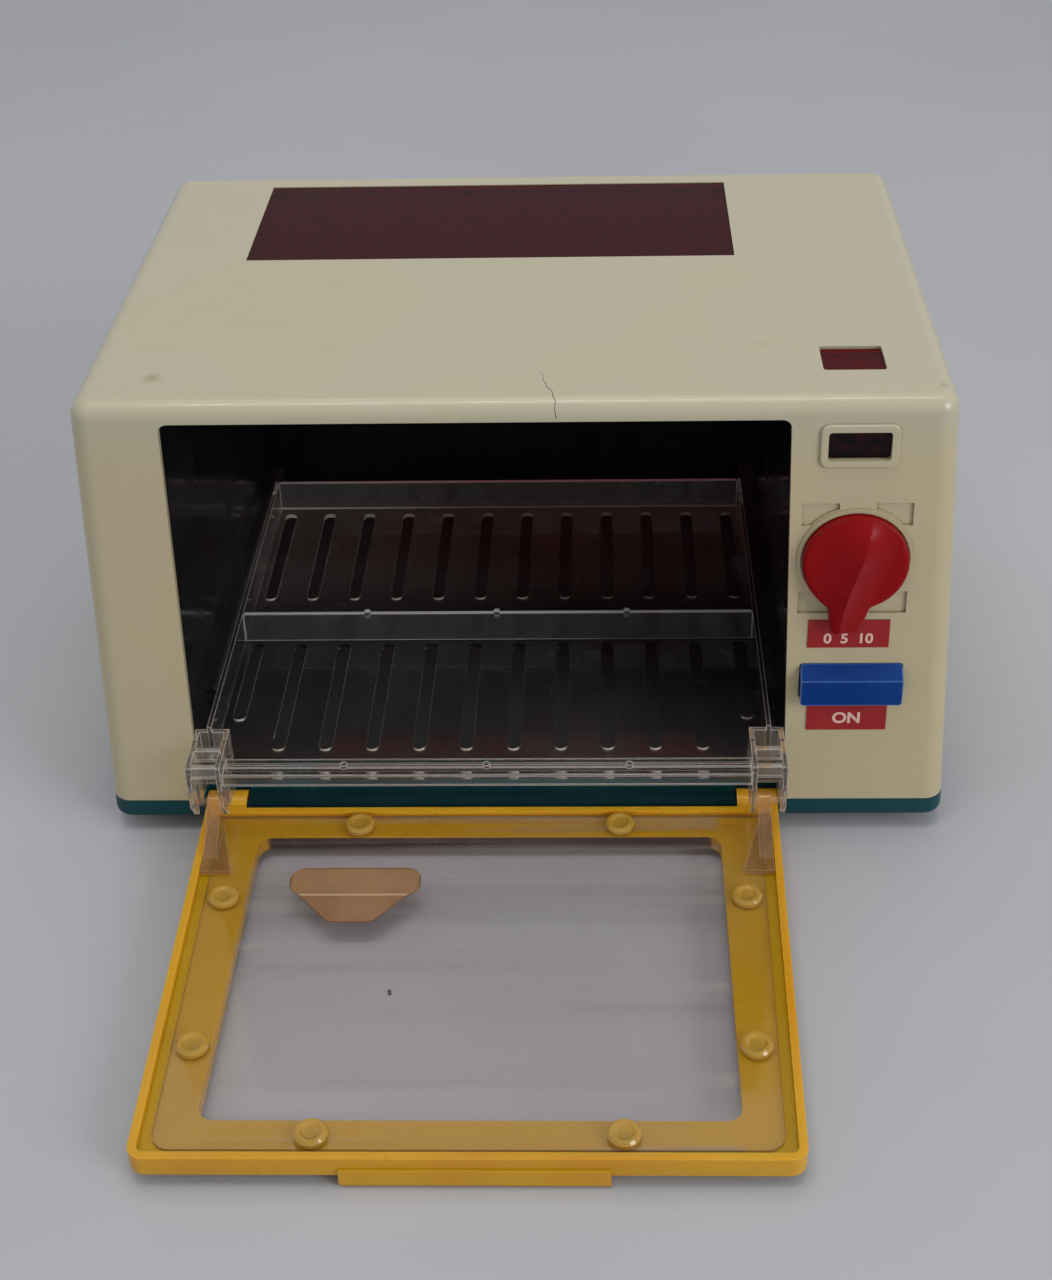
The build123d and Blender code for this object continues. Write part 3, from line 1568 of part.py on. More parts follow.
os.makedirs("parts", exist_ok=True)
pieces = [
    outer_shell,
    base_tray,
    oven_liner,
    top_window,
    lamp_window_top,
    lamp_window_front,
    timer_label,
    power_label,
    door_frame,
    door_pane,
    pane_rivets,
    door_label,
    door_arm_left,
    door_arm_right,
    hinge_pins,
    sliding_tray,
    timer_knob,
    timer_shaft,
    timer_unit,
    timer_screws,
    power_button,
    contact_bridge,
    switch_block,
    switch_contacts,
    switch_screws,
    button_spring,
    lamp_socket,
    lamp_bulb,
    battery_box,
    battery_cells,
    battery_contacts,
    battery_spring,
    battery_cover,
    cover_screws,
    base_screws,
]
for piece in pieces:
    export_step(piece.part, f"parts/{piece.part.label}.step")
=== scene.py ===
"""Finish, lettering and light for a toy microwave oven with its door folded down.

Metres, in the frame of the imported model: X to the right, Y to the back, Z up.
"""

import json
from math import cos, hypot, pi, radians, sin, sqrt, tan

import bmesh
import bpy
from mathutils import Matrix, Vector


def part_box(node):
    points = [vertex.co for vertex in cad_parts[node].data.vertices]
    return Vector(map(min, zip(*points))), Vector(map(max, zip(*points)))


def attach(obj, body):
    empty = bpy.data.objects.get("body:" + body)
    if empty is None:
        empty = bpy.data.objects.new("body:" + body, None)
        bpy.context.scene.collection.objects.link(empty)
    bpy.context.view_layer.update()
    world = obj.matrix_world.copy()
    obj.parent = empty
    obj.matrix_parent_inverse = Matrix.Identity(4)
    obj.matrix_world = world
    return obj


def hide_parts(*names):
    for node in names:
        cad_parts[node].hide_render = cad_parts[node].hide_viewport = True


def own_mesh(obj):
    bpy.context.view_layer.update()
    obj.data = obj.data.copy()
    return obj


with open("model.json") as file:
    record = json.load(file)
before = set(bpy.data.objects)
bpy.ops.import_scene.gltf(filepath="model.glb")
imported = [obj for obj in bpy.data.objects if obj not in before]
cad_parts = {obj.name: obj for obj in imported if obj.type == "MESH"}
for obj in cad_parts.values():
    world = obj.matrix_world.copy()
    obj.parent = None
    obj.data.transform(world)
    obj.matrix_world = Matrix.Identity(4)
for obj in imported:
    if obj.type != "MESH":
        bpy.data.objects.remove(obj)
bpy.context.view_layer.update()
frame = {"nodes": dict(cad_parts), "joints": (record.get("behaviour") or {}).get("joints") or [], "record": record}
nodes = frame["nodes"]

MM = 0.001

# The photograph's frame, its focal length and principal point in pixels, and the camera's place and angles
PHOTO_HEIGHT = 1280
FOCAL_PX = 1860.7
SHIFT_X_PX = -30
SHIFT_Y_PX = -175
SENSOR = 36.0
CAMERA_PLACE = (0.03035, -0.6116, 0.46237)
CAMERA_PITCH = radians(31.132)
CAMERA_YAW = radians(-1.835)
CAMERA_ROLL = radians(-1.396)
CLIP_START = 0.01

# Half side of the floor, the place the lamps point at, their colours, and the world's colour and strength
FLOOR_HALF = 4.0
LAMP_TARGET = (0, -0.05, 0.08)
CEILING_COLOR = (1.0, 0.985, 0.96)
WINDOW_COLOR = (0.98, 0.99, 1.0)
WORLD_COLOR = (0.95, 0.97, 1.0, 1)
WORLD_STRENGTH = 0.53

# Refraction of clear plastic and of glass, how much light the sheets mirror straight ahead, and the colour of
# the windows' dimmer gloss
PLASTIC_IOR = 1.49
GLASS_IOR = 1.45
GLOSS_AHEAD = 0.04
WINDOW_GLOSS = (0.37, 0.37, 0.39, 1)

# Range that most of a noise lies in, and the fine grain of the moulded plastics
NOISE_LOW = 0.35
NOISE_HIGH = 0.65
GRAIN_DEPTH = 0.02 * MM
GRAIN_STRENGTH = 0.3

# Lean of the front face, and how far lettering is raised and stands off its plate
FACE_LEAN = radians(2.29)
LETTER_HEIGHT = 0.05 * MM
LETTER_GAP = 0.02 * MM

# Knob: disc, and pointer as half widths, reach and drop of its neck, all from its axis
KNOB_RADIUS = 17.65 * MM
KNOB_ROUND = 1.4 * MM
KNOB_FACE = 4.5 * MM
KNOB_BACK = 0.4 * MM
NECK_RADIUS = 5 * MM
POINTER_NECK = 8.2 * MM
POINTER_NECK_DROP = 13 * MM
POINTER_TIP = 4.6 * MM
POINTER_REACH = 26 * MM
POINTER_BACK = 2.6 * MM

# Grip: its turn, height, the reach of its sides, and how its ridge sways
GRIP_TURN = radians(6)
GRIP_HEIGHT = 6.4 * MM
GRIP_LEFT_FOOT = 14.6 * MM
GRIP_RIGHT_FOOT = 11.5 * MM
GRIP_TOP_FADE = 0.8
GRIP_HOLLOW = 1.55
RIDGE_SWAY = 2.4 * MM
RIDGE_TURN = -0.1

# Knob's mesh: its rows, its columns on each side of the ridge, where the rows start round the disc, the share
# of them on the disc, the neck's sides, and the angle over which an edge stays sharp
KNOB_ROWS = 56
KNOB_COLUMNS = 16
KNOB_START = radians(4)
DISC_ROW_SHARE = 0.8
NECK_SEGMENTS = 40
SHARP_ANGLE = radians(30)

# Shell: the heights between which painted warmer light comes down its sides, and those between which the roof's
# marks fade in
WARMER_FROM = 168 * MM
WARMER_TO = 150 * MM
MARKS_FROM = 160 * MM
MARKS_TO = 170 * MM

# Distance over which the shade that the door throws on the sill fades out
SILL_FADE = 3 * MM

# Door's window: its wall beside the hinge, along Y, how far the pane reaches past it on each side, and the
# distance over which the pane's faint lines fade in
HINGE_WALL = -116 * MM
WINDOW_MARGIN = 13 * MM
STREAK_FADE = 5 * MM

# Tray: heights of its floor's two faces and of its walls' tops, and how far its side walls and the brackets'
# inner sides lie in from the brackets' outer sides. Along Y: the brackets' back, and where the rear hazes
TRAY_FLOOR_FOOT = 30.2 * MM
TRAY_FLOOR_TOP = 32 * MM
TRAY_WALL_TOP = 45 * MM
TRAY_SIDE = 6 * MM
BRACKET_WIDTH = 12 * MM
BRACKET_BACK = -96 * MM
REAR_FROM = -20 * MM
REAR_TO = 20 * MM

# Marks of wear: places in plan and their radii
ROOF_MARKS = ((-0.1189, -0.0769, 0.0046), (0.1387, -0.0863, 0.0022))
PANE_SPECK = (-0.0408, -0.1891, 0.0011)

# Sticker: length of its bar, width of its outline, and how strongly the bar's edge shows
LABEL_BAR = 13 * MM
LABEL_LINE = 0.5 * MM
SEAM_SHARE = 0.5

# Crack in the roof: x, and the run on from the roof's flat over its rounded front edge. It opens from a share
# of its width to the whole over its first two stretches, and wavers as two waves do
ROOF_EDGE_RADIUS = 6 * MM
CRACK_PLACES = ((0.0088, -0.015), (0.0103, -0.0075), (0.0127, -0.0014), (0.0138, 0.0045), (0.0143, 0.0103))
CRACK_STEPS = 6
CRACK_WIDTH = 0.28 * MM
CRACK_START_SHARE = 0.35
CRACK_OPENING = 2
CRACK_WAVER = 0.4 * MM
WAVER_TURNS = (5.1, 2.3)
LINE_GAP = 0.03 * MM


def linear(red, green, blue):
    """Scene-linear opaque colour from an 8-bit display colour."""

    def channel(value):
        share = value / 255
        return share / 12.92 if share <= 0.04045 else ((share + 0.055) / 1.055) ** 2.4

    return (channel(red), channel(green), channel(blue), 1.0)


def new_object(name, data):
    """Object in the scene, made from its data."""
    made = bpy.data.objects.new(name, data)
    bpy.context.scene.collection.objects.link(made)
    return made


def joint_named(name):
    return next(joint for joint in frame["joints"] if joint["name"] == name)


class Finish:
    """A material under construction: its node tree, its principled shader and small helpers."""

    def __init__(self, name, color, roughness, **sockets):
        self.material = bpy.data.materials.new(name)
        self.material.use_nodes = True
        self.tree = self.material.node_tree
        self.tree.nodes.clear()
        self.output = self.tree.nodes.new("ShaderNodeOutputMaterial")
        self.shader = self.tree.nodes.new("ShaderNodeBsdfPrincipled")
        self.link(self.shader.outputs[0], self.output.inputs["Surface"])
        self.color = color
        self.shader.inputs["Base Color"].default_value = color
        self.shader.inputs["Roughness"].default_value = roughness
        for key, value in sockets.items():
            self.shader.inputs[key.replace("_", " ")].default_value = value
        self.coordinates = self.tree.nodes.new("ShaderNodeTexCoord")
        self.place = self.coordinates.outputs["Object"]

    def link(self, source, target):
        self.tree.links.new(source, target)

    def node(self, kind, **settings):
        made = self.tree.nodes.new(kind)
        for key, value in settings.items():
            setattr(made, key, value)
        return made

    def stretched(self, x, y, z):
        """Object coordinates scaled apart on each axis."""
        mapping = self.node("ShaderNodeMapping")
        mapping.inputs["Scale"].default_value = (x, y, z)
        self.link(self.place, mapping.inputs["Vector"])
        return mapping.outputs[0]

    def noise(self, scale, detail=4.0, place=None):
        texture = self.node("ShaderNodeTexNoise")
        texture.inputs["Scale"].default_value = scale
        texture.inputs["Detail"].default_value = detail
        self.link(place or self.place, texture.inputs["Vector"])
        return texture.outputs["Fac"]

    def spread(self, value, low, high, to_low=0.0, to_high=1.0):
        """Map a value's range smoothly onto another, clamped."""
        mapped = self.node("ShaderNodeMapRange", interpolation_type="SMOOTHSTEP")
        limits = {"From Min": low, "From Max": high, "To Min": to_low, "To Max": to_high}
        for key, number in limits.items():
            mapped.inputs[key].default_value = number
        self.link(value, mapped.inputs["Value"])
        return mapped.outputs[0]

    def maths(self, operation, *values):
        """Result of a sum on sockets or plain numbers, clamped unless it is an absolute value."""
        node = self.node("ShaderNodeMath", operation=operation, use_clamp=operation != "ABSOLUTE")
        for n, value in enumerate(values):
            if isinstance(value, (int, float)):
                node.inputs[n].default_value = value
            else:
                self.link(value, node.inputs[n])
        return node.outputs[0]

    def both(self, first, *others):
        """Product of several shares."""
        for other in others:
            first = self.maths("MULTIPLY", first, other)
        return first

    def along(self, axis, source=None):
        """One coordinate of the place on the object, or of another vector."""
        split = self.node("ShaderNodeSeparateXYZ")
        self.link(source or self.place, split.inputs[0])
        return split.outputs[axis]

    def facing(self, axis):
        """How squarely the surface faces along an axis of the object, either way."""
        return self.maths("ABSOLUTE", self.along(axis, self.coordinates.outputs["Normal"]))

    def within(self, low, high, inset, fade):
        """Share that rises inside both ends of a box along X, from an inset on and over a fade."""
        across = self.along(0)
        return self.both(
            self.spread(across, low.x + inset, low.x + inset + fade),
            self.spread(across, high.x - inset, high.x - inset - fade),
        )

    def spot(self, x, y, radius):
        """Share that fades from one at a place in plan to nothing at a radius."""
        gap = self.node("ShaderNodeVectorMath", operation="DISTANCE")
        flat = self.stretched(1, 1, 0)
        self.link(flat, gap.inputs[0])
        gap.inputs[1].default_value = (x, y, 0)
        return self.spread(gap.outputs["Value"], 0, radius, 1, 0)

    def edges(self, radius, low=0.8, high=0.98):
        """Share that rises at edges, for a painted highlight along them."""
        bevel = self.node("ShaderNodeBevel", samples=4)
        bevel.inputs["Radius"].default_value = radius
        turned = self.node("ShaderNodeVectorMath", operation="DOT_PRODUCT")
        self.link(bevel.outputs[0], turned.inputs[0])
        self.link(self.node("ShaderNodeNewGeometry").outputs["Normal"], turned.inputs[1])
        return self.spread(self.maths("ABSOLUTE", turned.outputs["Value"]), low, high, 1, 0)

    def tint(self, share, color):
        """Blend the colour so far towards another by a share that varies over the surface."""
        mix = self.node("ShaderNodeMix", data_type="RGBA")
        self.link(share, mix.inputs["Factor"])
        sockets = [socket for socket in mix.inputs if socket.type == "RGBA"]
        if isinstance(self.color, tuple):
            sockets[0].default_value = self.color
        else:
            self.link(self.color, sockets[0])
        sockets[1].default_value = color
        self.color = [socket for socket in mix.outputs if socket.type == "RGBA"][0]
        self.link(self.color, self.shader.inputs["Base Color"])

    def rough(self, value, low, high):
        """Vary the roughness between two levels over the surface."""
        self.link(self.spread(value, NOISE_LOW, NOISE_HIGH, low, high), self.shader.inputs["Roughness"])

    def grain(self, scale):
        """Fine dents all over, as a mould leaves."""
        bump = self.node("ShaderNodeBump")
        bump.inputs["Strength"].default_value = GRAIN_STRENGTH
        bump.inputs["Distance"].default_value = GRAIN_DEPTH
        self.link(self.noise(scale, 2), bump.inputs["Height"])
        self.link(bump.outputs[0], self.shader.inputs["Normal"])

    def corner_dirt_and_shade(self, distance=2 * MM):
        """Share that rises in inner corners, from their occlusion: dirt that stays there, and painted shade."""
        occlusion = self.node("ShaderNodeAmbientOcclusion", samples=8)
        occlusion.inputs["Distance"].default_value = distance
        return self.spread(occlusion.outputs["AO"], 0.35, 0.8, 1, 0)

    def mixed(self, share, other):
        """Put another shader in beside the one so far, by a share."""
        mix = self.node("ShaderNodeMixShader")
        if isinstance(share, (int, float)):
            mix.inputs[0].default_value = share
        else:
            self.link(share, mix.inputs[0])
        self.link(self.output.inputs["Surface"].links[0].from_socket, mix.inputs[1])
        self.link(other, mix.inputs[2])
        self.link(mix.outputs[0], self.output.inputs["Surface"])

    def lets_lamps_through(self, color):
        """Clear to lamps, so that the plastic throws a pale tinted shadow."""
        path = self.node("ShaderNodeLightPath")
        through = self.node("ShaderNodeBsdfTransparent")
        through.inputs["Color"].default_value = color
        self.mixed(path.outputs["Is Shadow Ray"], through.outputs[0])

    def haze_and_painted_light(self, share, color):
        """A matt share of the surface: milky haze from wear, print and dirt, and in places a painted highlight or
        shade.
        """
        matt = self.node("ShaderNodeBsdfDiffuse")
        matt.inputs["Color"].default_value = color
        self.mixed(share, matt.outputs[0])

    def sheer(self, share, color, roughness, gloss_color=(1, 1, 1, 1)):
        """Let a share of the light straight through, tinted, under a clear gloss."""
        through = self.node("ShaderNodeBsdfTransparent")
        through.inputs["Color"].default_value = color
        gloss = self.node("ShaderNodeBsdfAnisotropic")
        gloss.inputs["Color"].default_value = gloss_color
        gloss.inputs["Roughness"].default_value = roughness
        slant = self.node("ShaderNodeLayerWeight").outputs["Facing"]
        steep = self.maths("POWER", slant, 5)
        mirrored = self.maths("MULTIPLY_ADD", steep, 1 - GLOSS_AHEAD, GLOSS_AHEAD)
        clear = self.node("ShaderNodeMixShader")
        self.link(mirrored, clear.inputs[0])
        self.link(through.outputs[0], clear.inputs[1])
        self.link(gloss.outputs[0], clear.inputs[2])
        self.mixed(share, clear.outputs[0])


def cream_plastic():
    """Glossy case, yellower in patches, with painted warmer light down its sides, two marks on the roof, and dirt
    and painted shade in corners.
    """
    finish = Finish("cream_plastic", linear(182, 175, 150), 0.22, Specular_IOR_Level=0.45)
    finish.tint(finish.spread(finish.noise(9), 0.4, 0.7, 0, 0.5), linear(186, 174, 140))
    finish.tint(finish.spread(finish.noise(60, 6), 0.6, 0.78, 0, 0.25), linear(170, 158, 126))
    height = finish.along(2)
    # Painted warmer light down the sides and front.
    finish.tint(finish.spread(height, WARMER_FROM, WARMER_TO, 0, 0.6), linear(188, 172, 134))
    for x, y, radius in ROOF_MARKS:
        on_roof = finish.spread(height, MARKS_FROM, MARKS_TO, 0, 0.5)
        finish.tint(finish.both(finish.spot(x, y, radius), on_roof), linear(134, 116, 78))
    # Dirt and painted shade in the corners.
    finish.tint(finish.spread(finish.corner_dirt_and_shade(), 0, 1, 0, 0.6), linear(110, 92, 62))
    finish.rough(finish.noise(35), 0.14, 0.3)
    finish.grain(900)
    return finish.material


def teal_plastic():
    """Dark base, in shade along the sill where the open door's end lies over it."""
    finish = Finish("teal_plastic", linear(6, 62, 70), 0.4, Specular_IOR_Level=0.25)
    finish.tint(finish.spread(finish.noise(40), 0.45, 0.75, 0, 0.4), linear(22, 74, 80))
    low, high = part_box("door_frame")
    sill = finish.spread(finish.along(1), high.y, high.y - SILL_FADE, 0, 0.85)
    finish.tint(finish.both(finish.within(low, high, 0, SILL_FADE), sill), linear(8, 36, 40))
    finish.rough(finish.noise(60), 0.3, 0.5)
    finish.grain(800)
    return finish.material


def black_plastic():
    finish = Finish("black_plastic", linear(16, 16, 18), 0.2, Specular_IOR_Level=0.4)
    finish.tint(finish.spread(finish.noise(25, 6), 0.4, 0.8, 0.05, 0.3), linear(54, 54, 60))
    finish.tint(finish.spread(finish.facing(2), 0.7, 0.95, 0, 0.7), linear(72, 70, 72))
    finish.rough(finish.noise(30), 0.1, 0.28)
    return finish.material


def red_window(name="red_window", body=(132, 12, 22), through=(196, 28, 40)):
    """Dark sheet, see-through as far as its colour lets light by, with a fine grain."""
    finish = Finish(name, linear(*body), 0.4, Specular_IOR_Level=0.1)
    finish.tint(finish.spread(finish.noise(220, 3), 0.4, 0.65, 0, 0.5), linear(148, 30, 40))
    clear = finish.spread(finish.noise(400, 2), 0.3, 0.7, 0.86, 0.93)
    finish.sheer(clear, linear(*through), 0.25, WINDOW_GLOSS)
    return finish.material


def amber_plastic():
    """Translucent frame, deeper under the pane, with painted shade in its corners and a painted shadow along the
    window's hinge wall.
    """
    finish = Finish(
        "amber_plastic",
        linear(208, 158, 34),
        0.3,
        Subsurface_Weight=0.5,
        Subsurface_Radius=(1.0, 0.5, 0.08),
        Subsurface_Scale=5 * MM,
        Specular_IOR_Level=0.4,
    )
    finish.tint(finish.spread(finish.noise(14), 0.4, 0.7, 0, 0.45), linear(194, 128, 22))
    # Painted shade: deeper amber in the corners.
    finish.tint(finish.spread(finish.corner_dirt_and_shade(3 * MM), 0, 1, 0, 0.5), linear(160, 84, 8))
    pane_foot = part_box("door_pane")[0].z
    under_pane = finish.spread(finish.along(2), pane_foot + 0.5 * MM, pane_foot - 0.1 * MM)
    finish.tint(finish.both(under_pane, finish.spread(finish.facing(2), 0.5, 0.8)), linear(188, 148, 12))
    # Painted shadow on the window's wall beside the hinge.
    towards_hinge = finish.spread(finish.along(1), HINGE_WALL - MM, HINGE_WALL - 0.3 * MM)
    short_of_rim = finish.spread(finish.along(1), HINGE_WALL + 1.5 * MM, HINGE_WALL + 0.8 * MM)
    upright = finish.spread(finish.facing(1), 0.5, 0.8)
    hinge_wall_shadow = finish.both(under_pane, towards_hinge, short_of_rim, upright)
    finish.tint(hinge_wall_shadow, linear(72, 58, 54))
    finish.rough(finish.noise(40), 0.22, 0.42)
    finish.grain(500)
    return finish.material


def clear_sheet():
    """Thin flat sheet, with faint lines across it and painted shade on its cut edge."""
    finish = Finish("clear_sheet", linear(166, 160, 154), 0.4)
    lines = finish.noise(60, 2, finish.stretched(0.06, 2.4, 1))
    wear = finish.noise(18, 6)
    low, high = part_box("door_pane")
    in_window = finish.within(low, high, WINDOW_MARGIN, STREAK_FADE)
    streaks = finish.both(in_window, finish.spread(lines, 0.54, 0.66, 0, 0.17))
    haze = finish.maths("ADD", streaks, finish.spread(wear, 0.4, 0.8, 0.01, 0.05))
    finish.sheer(finish.maths("SUBTRACT", 1.0, haze), linear(254, 252, 252), 0.06)
    # Painted shade on the sheet's cut edge.
    finish.haze_and_painted_light(finish.spread(finish.facing(2), 0.3, 0.7, 0.6, 0), linear(140, 112, 78))
    finish.haze_and_painted_light(finish.spot(*PANE_SPECK), linear(20, 18, 18))
    return finish.material


def clear_moulded():
    """Thick clear moulding of the tray: milky brackets and rear, and painted highlights on rims, wall tops and
    slot ends.
    """
    clear = linear(232, 230, 226)
    finish = Finish("clear_moulded", clear, 0.05, Transmission_Weight=1.0, IOR=PLASTIC_IOR)
    finish.rough(finish.noise(30), 0.03, 0.09)
    finish.haze_and_painted_light(finish.spread(finish.noise(26, 6), 0.42, 0.75, 0.006, 0.022), linear(176, 176, 178))
    finish.haze_and_painted_light(finish.spread(finish.along(1), REAR_FROM, REAR_TO, 0, 0.05), linear(200, 190, 186))
    height = finish.along(2)
    above_floor = finish.spread(height, TRAY_FLOOR_TOP + 0.5 * MM, TRAY_FLOOR_TOP + MM)
    upright = finish.spread(finish.facing(1), 0.6, 0.9, 0, 0.022)
    finish.haze_and_painted_light(finish.both(above_floor, upright), linear(190, 194, 200))
    low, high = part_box("sliding_tray")
    # Painted highlight along the walls' tops.
    wall_top_highlight = finish.both(
        finish.spread(height, TRAY_WALL_TOP - 0.8 * MM, TRAY_WALL_TOP - 0.4 * MM),
        finish.spread(finish.facing(2), 0.6, 0.9, 0, 0.9),
        finish.within(low, high, TRAY_SIDE, MM),
    )
    finish.haze_and_painted_light(wall_top_highlight, linear(240, 242, 246))
    across = finish.along(0)
    at_ends = finish.maths(
        "MAXIMUM",
        finish.spread(across, low.x + BRACKET_WIDTH + MM, low.x + BRACKET_WIDTH),
        finish.spread(across, high.x - BRACKET_WIDTH - MM, high.x - BRACKET_WIDTH),
    )
    in_front = finish.spread(finish.along(1), BRACKET_BACK + MM, BRACKET_BACK, 0, 0.09)
    finish.haze_and_painted_light(finish.both(at_ends, in_front), linear(186, 172, 160))
    # Painted highlight along edges, above the floor and down the legs.
    legs = finish.spread(height, TRAY_FLOOR_FOOT - 0.7 * MM, TRAY_FLOOR_FOOT - 1.2 * MM, 0, 0.4)
    off_floor = finish.maths("MAXIMUM", above_floor, legs)
    finish.haze_and_painted_light(finish.both(off_floor, finish.spread(finish.edges(0.55 * MM), 0, 1, 0, 0.85)), clear)
    # Painted highlights on the slots' walls, bright at their ends and faint along their sides.
    slot_walls = finish.both(
        finish.node("ShaderNodeNewGeometry").outputs["Backfacing"],
        finish.spread(height, TRAY_FLOOR_TOP + 0.3 * MM, TRAY_FLOOR_TOP + 0.1 * MM),
        finish.spread(height, TRAY_FLOOR_FOOT - 0.4 * MM, TRAY_FLOOR_FOOT - 0.2 * MM),
    )
    ends = finish.spread(finish.facing(1), 0.5, 0.8, 0, 0.8)
    sides = finish.spread(finish.facing(0), 0.7, 0.95, 0, 0.2)
    finish.haze_and_painted_light(finish.both(slot_walls, ends), linear(240, 238, 236))
    finish.haze_and_painted_light(finish.both(slot_walls, sides), linear(200, 204, 208))
    finish.lets_lamps_through(linear(226, 222, 216))
    return finish.material


def clear_arm():
    """Clear moulding gone milky, as the arms on the door have."""
    finish = Finish("clear_arm", linear(190, 156, 112), 0.3)
    milk = finish.spread(finish.noise(60, 4), 0.35, 0.7, 0.1, 0.2)
    finish.sheer(finish.maths("SUBTRACT", 1.0, milk), linear(244, 234, 216), 0.06)
    # Painted highlight along the edges.
    finish.haze_and_painted_light(finish.spread(finish.edges(0.5 * MM), 0, 1, 0, 0.3), linear(226, 212, 190))
    return finish.material


def clear_rivet():
    """Clear heads, painted amber for the light they gather from the frame under them, with painted highlights on
    their edges.
    """
    finish = Finish("clear_rivet", linear(210, 172, 70), 0.12, Coat_Weight=0.6)
    finish.sheer(0.5, linear(246, 226, 158), 0.05)
    # Painted highlight along the edges.
    finish.haze_and_painted_light(finish.spread(finish.edges(0.5 * MM), 0, 1, 0, 0.3), linear(226, 204, 150))
    return finish.material


def peach_label():
    """Sheer sticker: a bar towards the hinge, a bright seam, a browner foot and a brown outline."""
    finish = Finish("peach_label", linear(182, 146, 110), 0.4)
    low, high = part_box("door_label")
    bar_edge = high.y - LABEL_BAR
    foot = finish.spread(finish.along(1), bar_edge - 0.3 * MM, bar_edge)
    finish.tint(finish.maths("SUBTRACT", 1.0, foot), linear(178, 140, 104))
    seam = finish.both(
        finish.spread(finish.along(1), bar_edge - 0.6 * MM, bar_edge - 0.2 * MM, 0, SEAM_SHARE),
        finish.spread(finish.along(1), bar_edge + 0.6 * MM, bar_edge + 0.2 * MM),
    )
    finish.tint(finish.spread(finish.noise(90, 5), 0.45, 0.75, 0, 0.5), linear(192, 150, 98))
    finish.rough(finish.noise(60), 0.3, 0.5)
    finish.sheer(finish.spread(finish.noise(70, 3), 0.3, 0.7, 0.35, 0.5), linear(232, 190, 150), 0.1)
    finish.haze_and_painted_light(seam, linear(226, 196, 160))
    outline = finish.spread(finish.along(1), high.y - 2 * LABEL_LINE, high.y - LABEL_LINE, 0, 0.4)
    for end, inward in ((low.x, LABEL_LINE), (high.x, -LABEL_LINE)):
        line = finish.spread(finish.along(0), end + 2 * inward, end + inward, 0, 0.5)
        outline = finish.maths("MAXIMUM", outline, line)
    finish.haze_and_painted_light(outline, linear(96, 70, 50))
    finish.haze_and_painted_light(finish.spread(finish.facing(2), 0.3, 0.7, 0.9, 0), linear(120, 76, 44))
    return finish.material


def red_plastic():
    finish = Finish("red_plastic", linear(138, 2, 10), 0.28, Specular_IOR_Level=0.14)
    finish.tint(finish.spread(finish.noise(50, 5), 0.5, 0.75, 0, 0.3), linear(152, 14, 24))
    finish.rough(finish.noise(70), 0.25, 0.42)
    return finish.material


def red_label():
    finish = Finish("red_label", linear(152, 30, 32), 0.45, Specular_IOR_Level=0.3)
    finish.tint(finish.spread(finish.noise(120, 5), 0.5, 0.75, 0, 0.35), linear(170, 54, 50))
    finish.rough(finish.noise(90), 0.35, 0.55)
    return finish.material


def letter_ink():
    finish = Finish("letter_ink", linear(226, 186, 172), 0.5)
    finish.tint(finish.spread(finish.noise(900, 3), 0.5, 0.7, 0, 0.5), linear(198, 140, 128))
    return finish.material


def blue_plastic():
    finish = Finish("blue_plastic", linear(2, 52, 122), 0.25, Specular_IOR_Level=0.12)
    finish.tint(finish.spread(finish.noise(80, 4), 0.5, 0.8, 0, 0.25), linear(34, 80, 146))
    # Painted highlight along the key's edges and crest.
    finish.tint(finish.spread(finish.edges(0.7 * MM, 0.9, 0.995), 0, 1, 0, 0.6), linear(120, 160, 206))
    finish.rough(finish.noise(60), 0.22, 0.4)
    return finish.material


def grey_plastic():
    finish = Finish("grey_plastic", linear(150, 150, 152), 0.5)
    finish.tint(finish.spread(finish.noise(50), 0.4, 0.7, 0, 0.4), linear(128, 128, 132))
    finish.grain(700)
    return finish.material


def steel():
    finish = Finish("steel", linear(196, 196, 192), 0.3, Metallic=1.0)
    finish.tint(finish.spread(finish.noise(200, 5), 0.45, 0.75, 0, 0.5), linear(150, 146, 138))
    finish.rough(finish.noise(400, 3), 0.22, 0.42)
    return finish.material


def brass():
    finish = Finish("brass", linear(206, 172, 104), 0.3, Metallic=1.0)
    finish.tint(finish.spread(finish.noise(150, 5), 0.45, 0.75, 0, 0.5), linear(150, 118, 70))
    finish.rough(finish.noise(300, 3), 0.25, 0.45)
    return finish.material


def bulb_glass():
    finish = Finish("bulb_glass", linear(240, 238, 230), 0.03, Transmission_Weight=1.0, IOR=GLASS_IOR)
    finish.haze_and_painted_light(finish.spread(finish.noise(80), 0.4, 0.7, 0.02, 0.08), linear(200, 196, 186))
    finish.lets_lamps_through(linear(235, 232, 226))
    return finish.material


def cell_jacket():
    finish = Finish("cell_jacket", linear(52, 52, 56), 0.35)
    finish.tint(finish.spread(finish.noise(90), 0.5, 0.8, 0, 0.3), linear(88, 88, 92))
    finish.rough(finish.noise(120), 0.25, 0.45)
    return finish.material


MAKERS = {
    "cream_plastic": cream_plastic,
    "teal_plastic": teal_plastic,
    "black_plastic": black_plastic,
    "red_window": red_window,
    "amber_plastic": amber_plastic,
    "clear_plastic": clear_moulded,
    "peach_label": peach_label,
    "red_plastic": red_plastic,
    "red_label": red_label,
    "blue_plastic": blue_plastic,
    "grey_plastic": grey_plastic,
    "steel": steel,
    "brass": brass,
    "bulb_glass": bulb_glass,
    "cell_jacket": cell_jacket,
}


def dress(name, material):
    """Give one finish to the whole of a node."""
    for slot in nodes[name].material_slots:
        slot.material = material


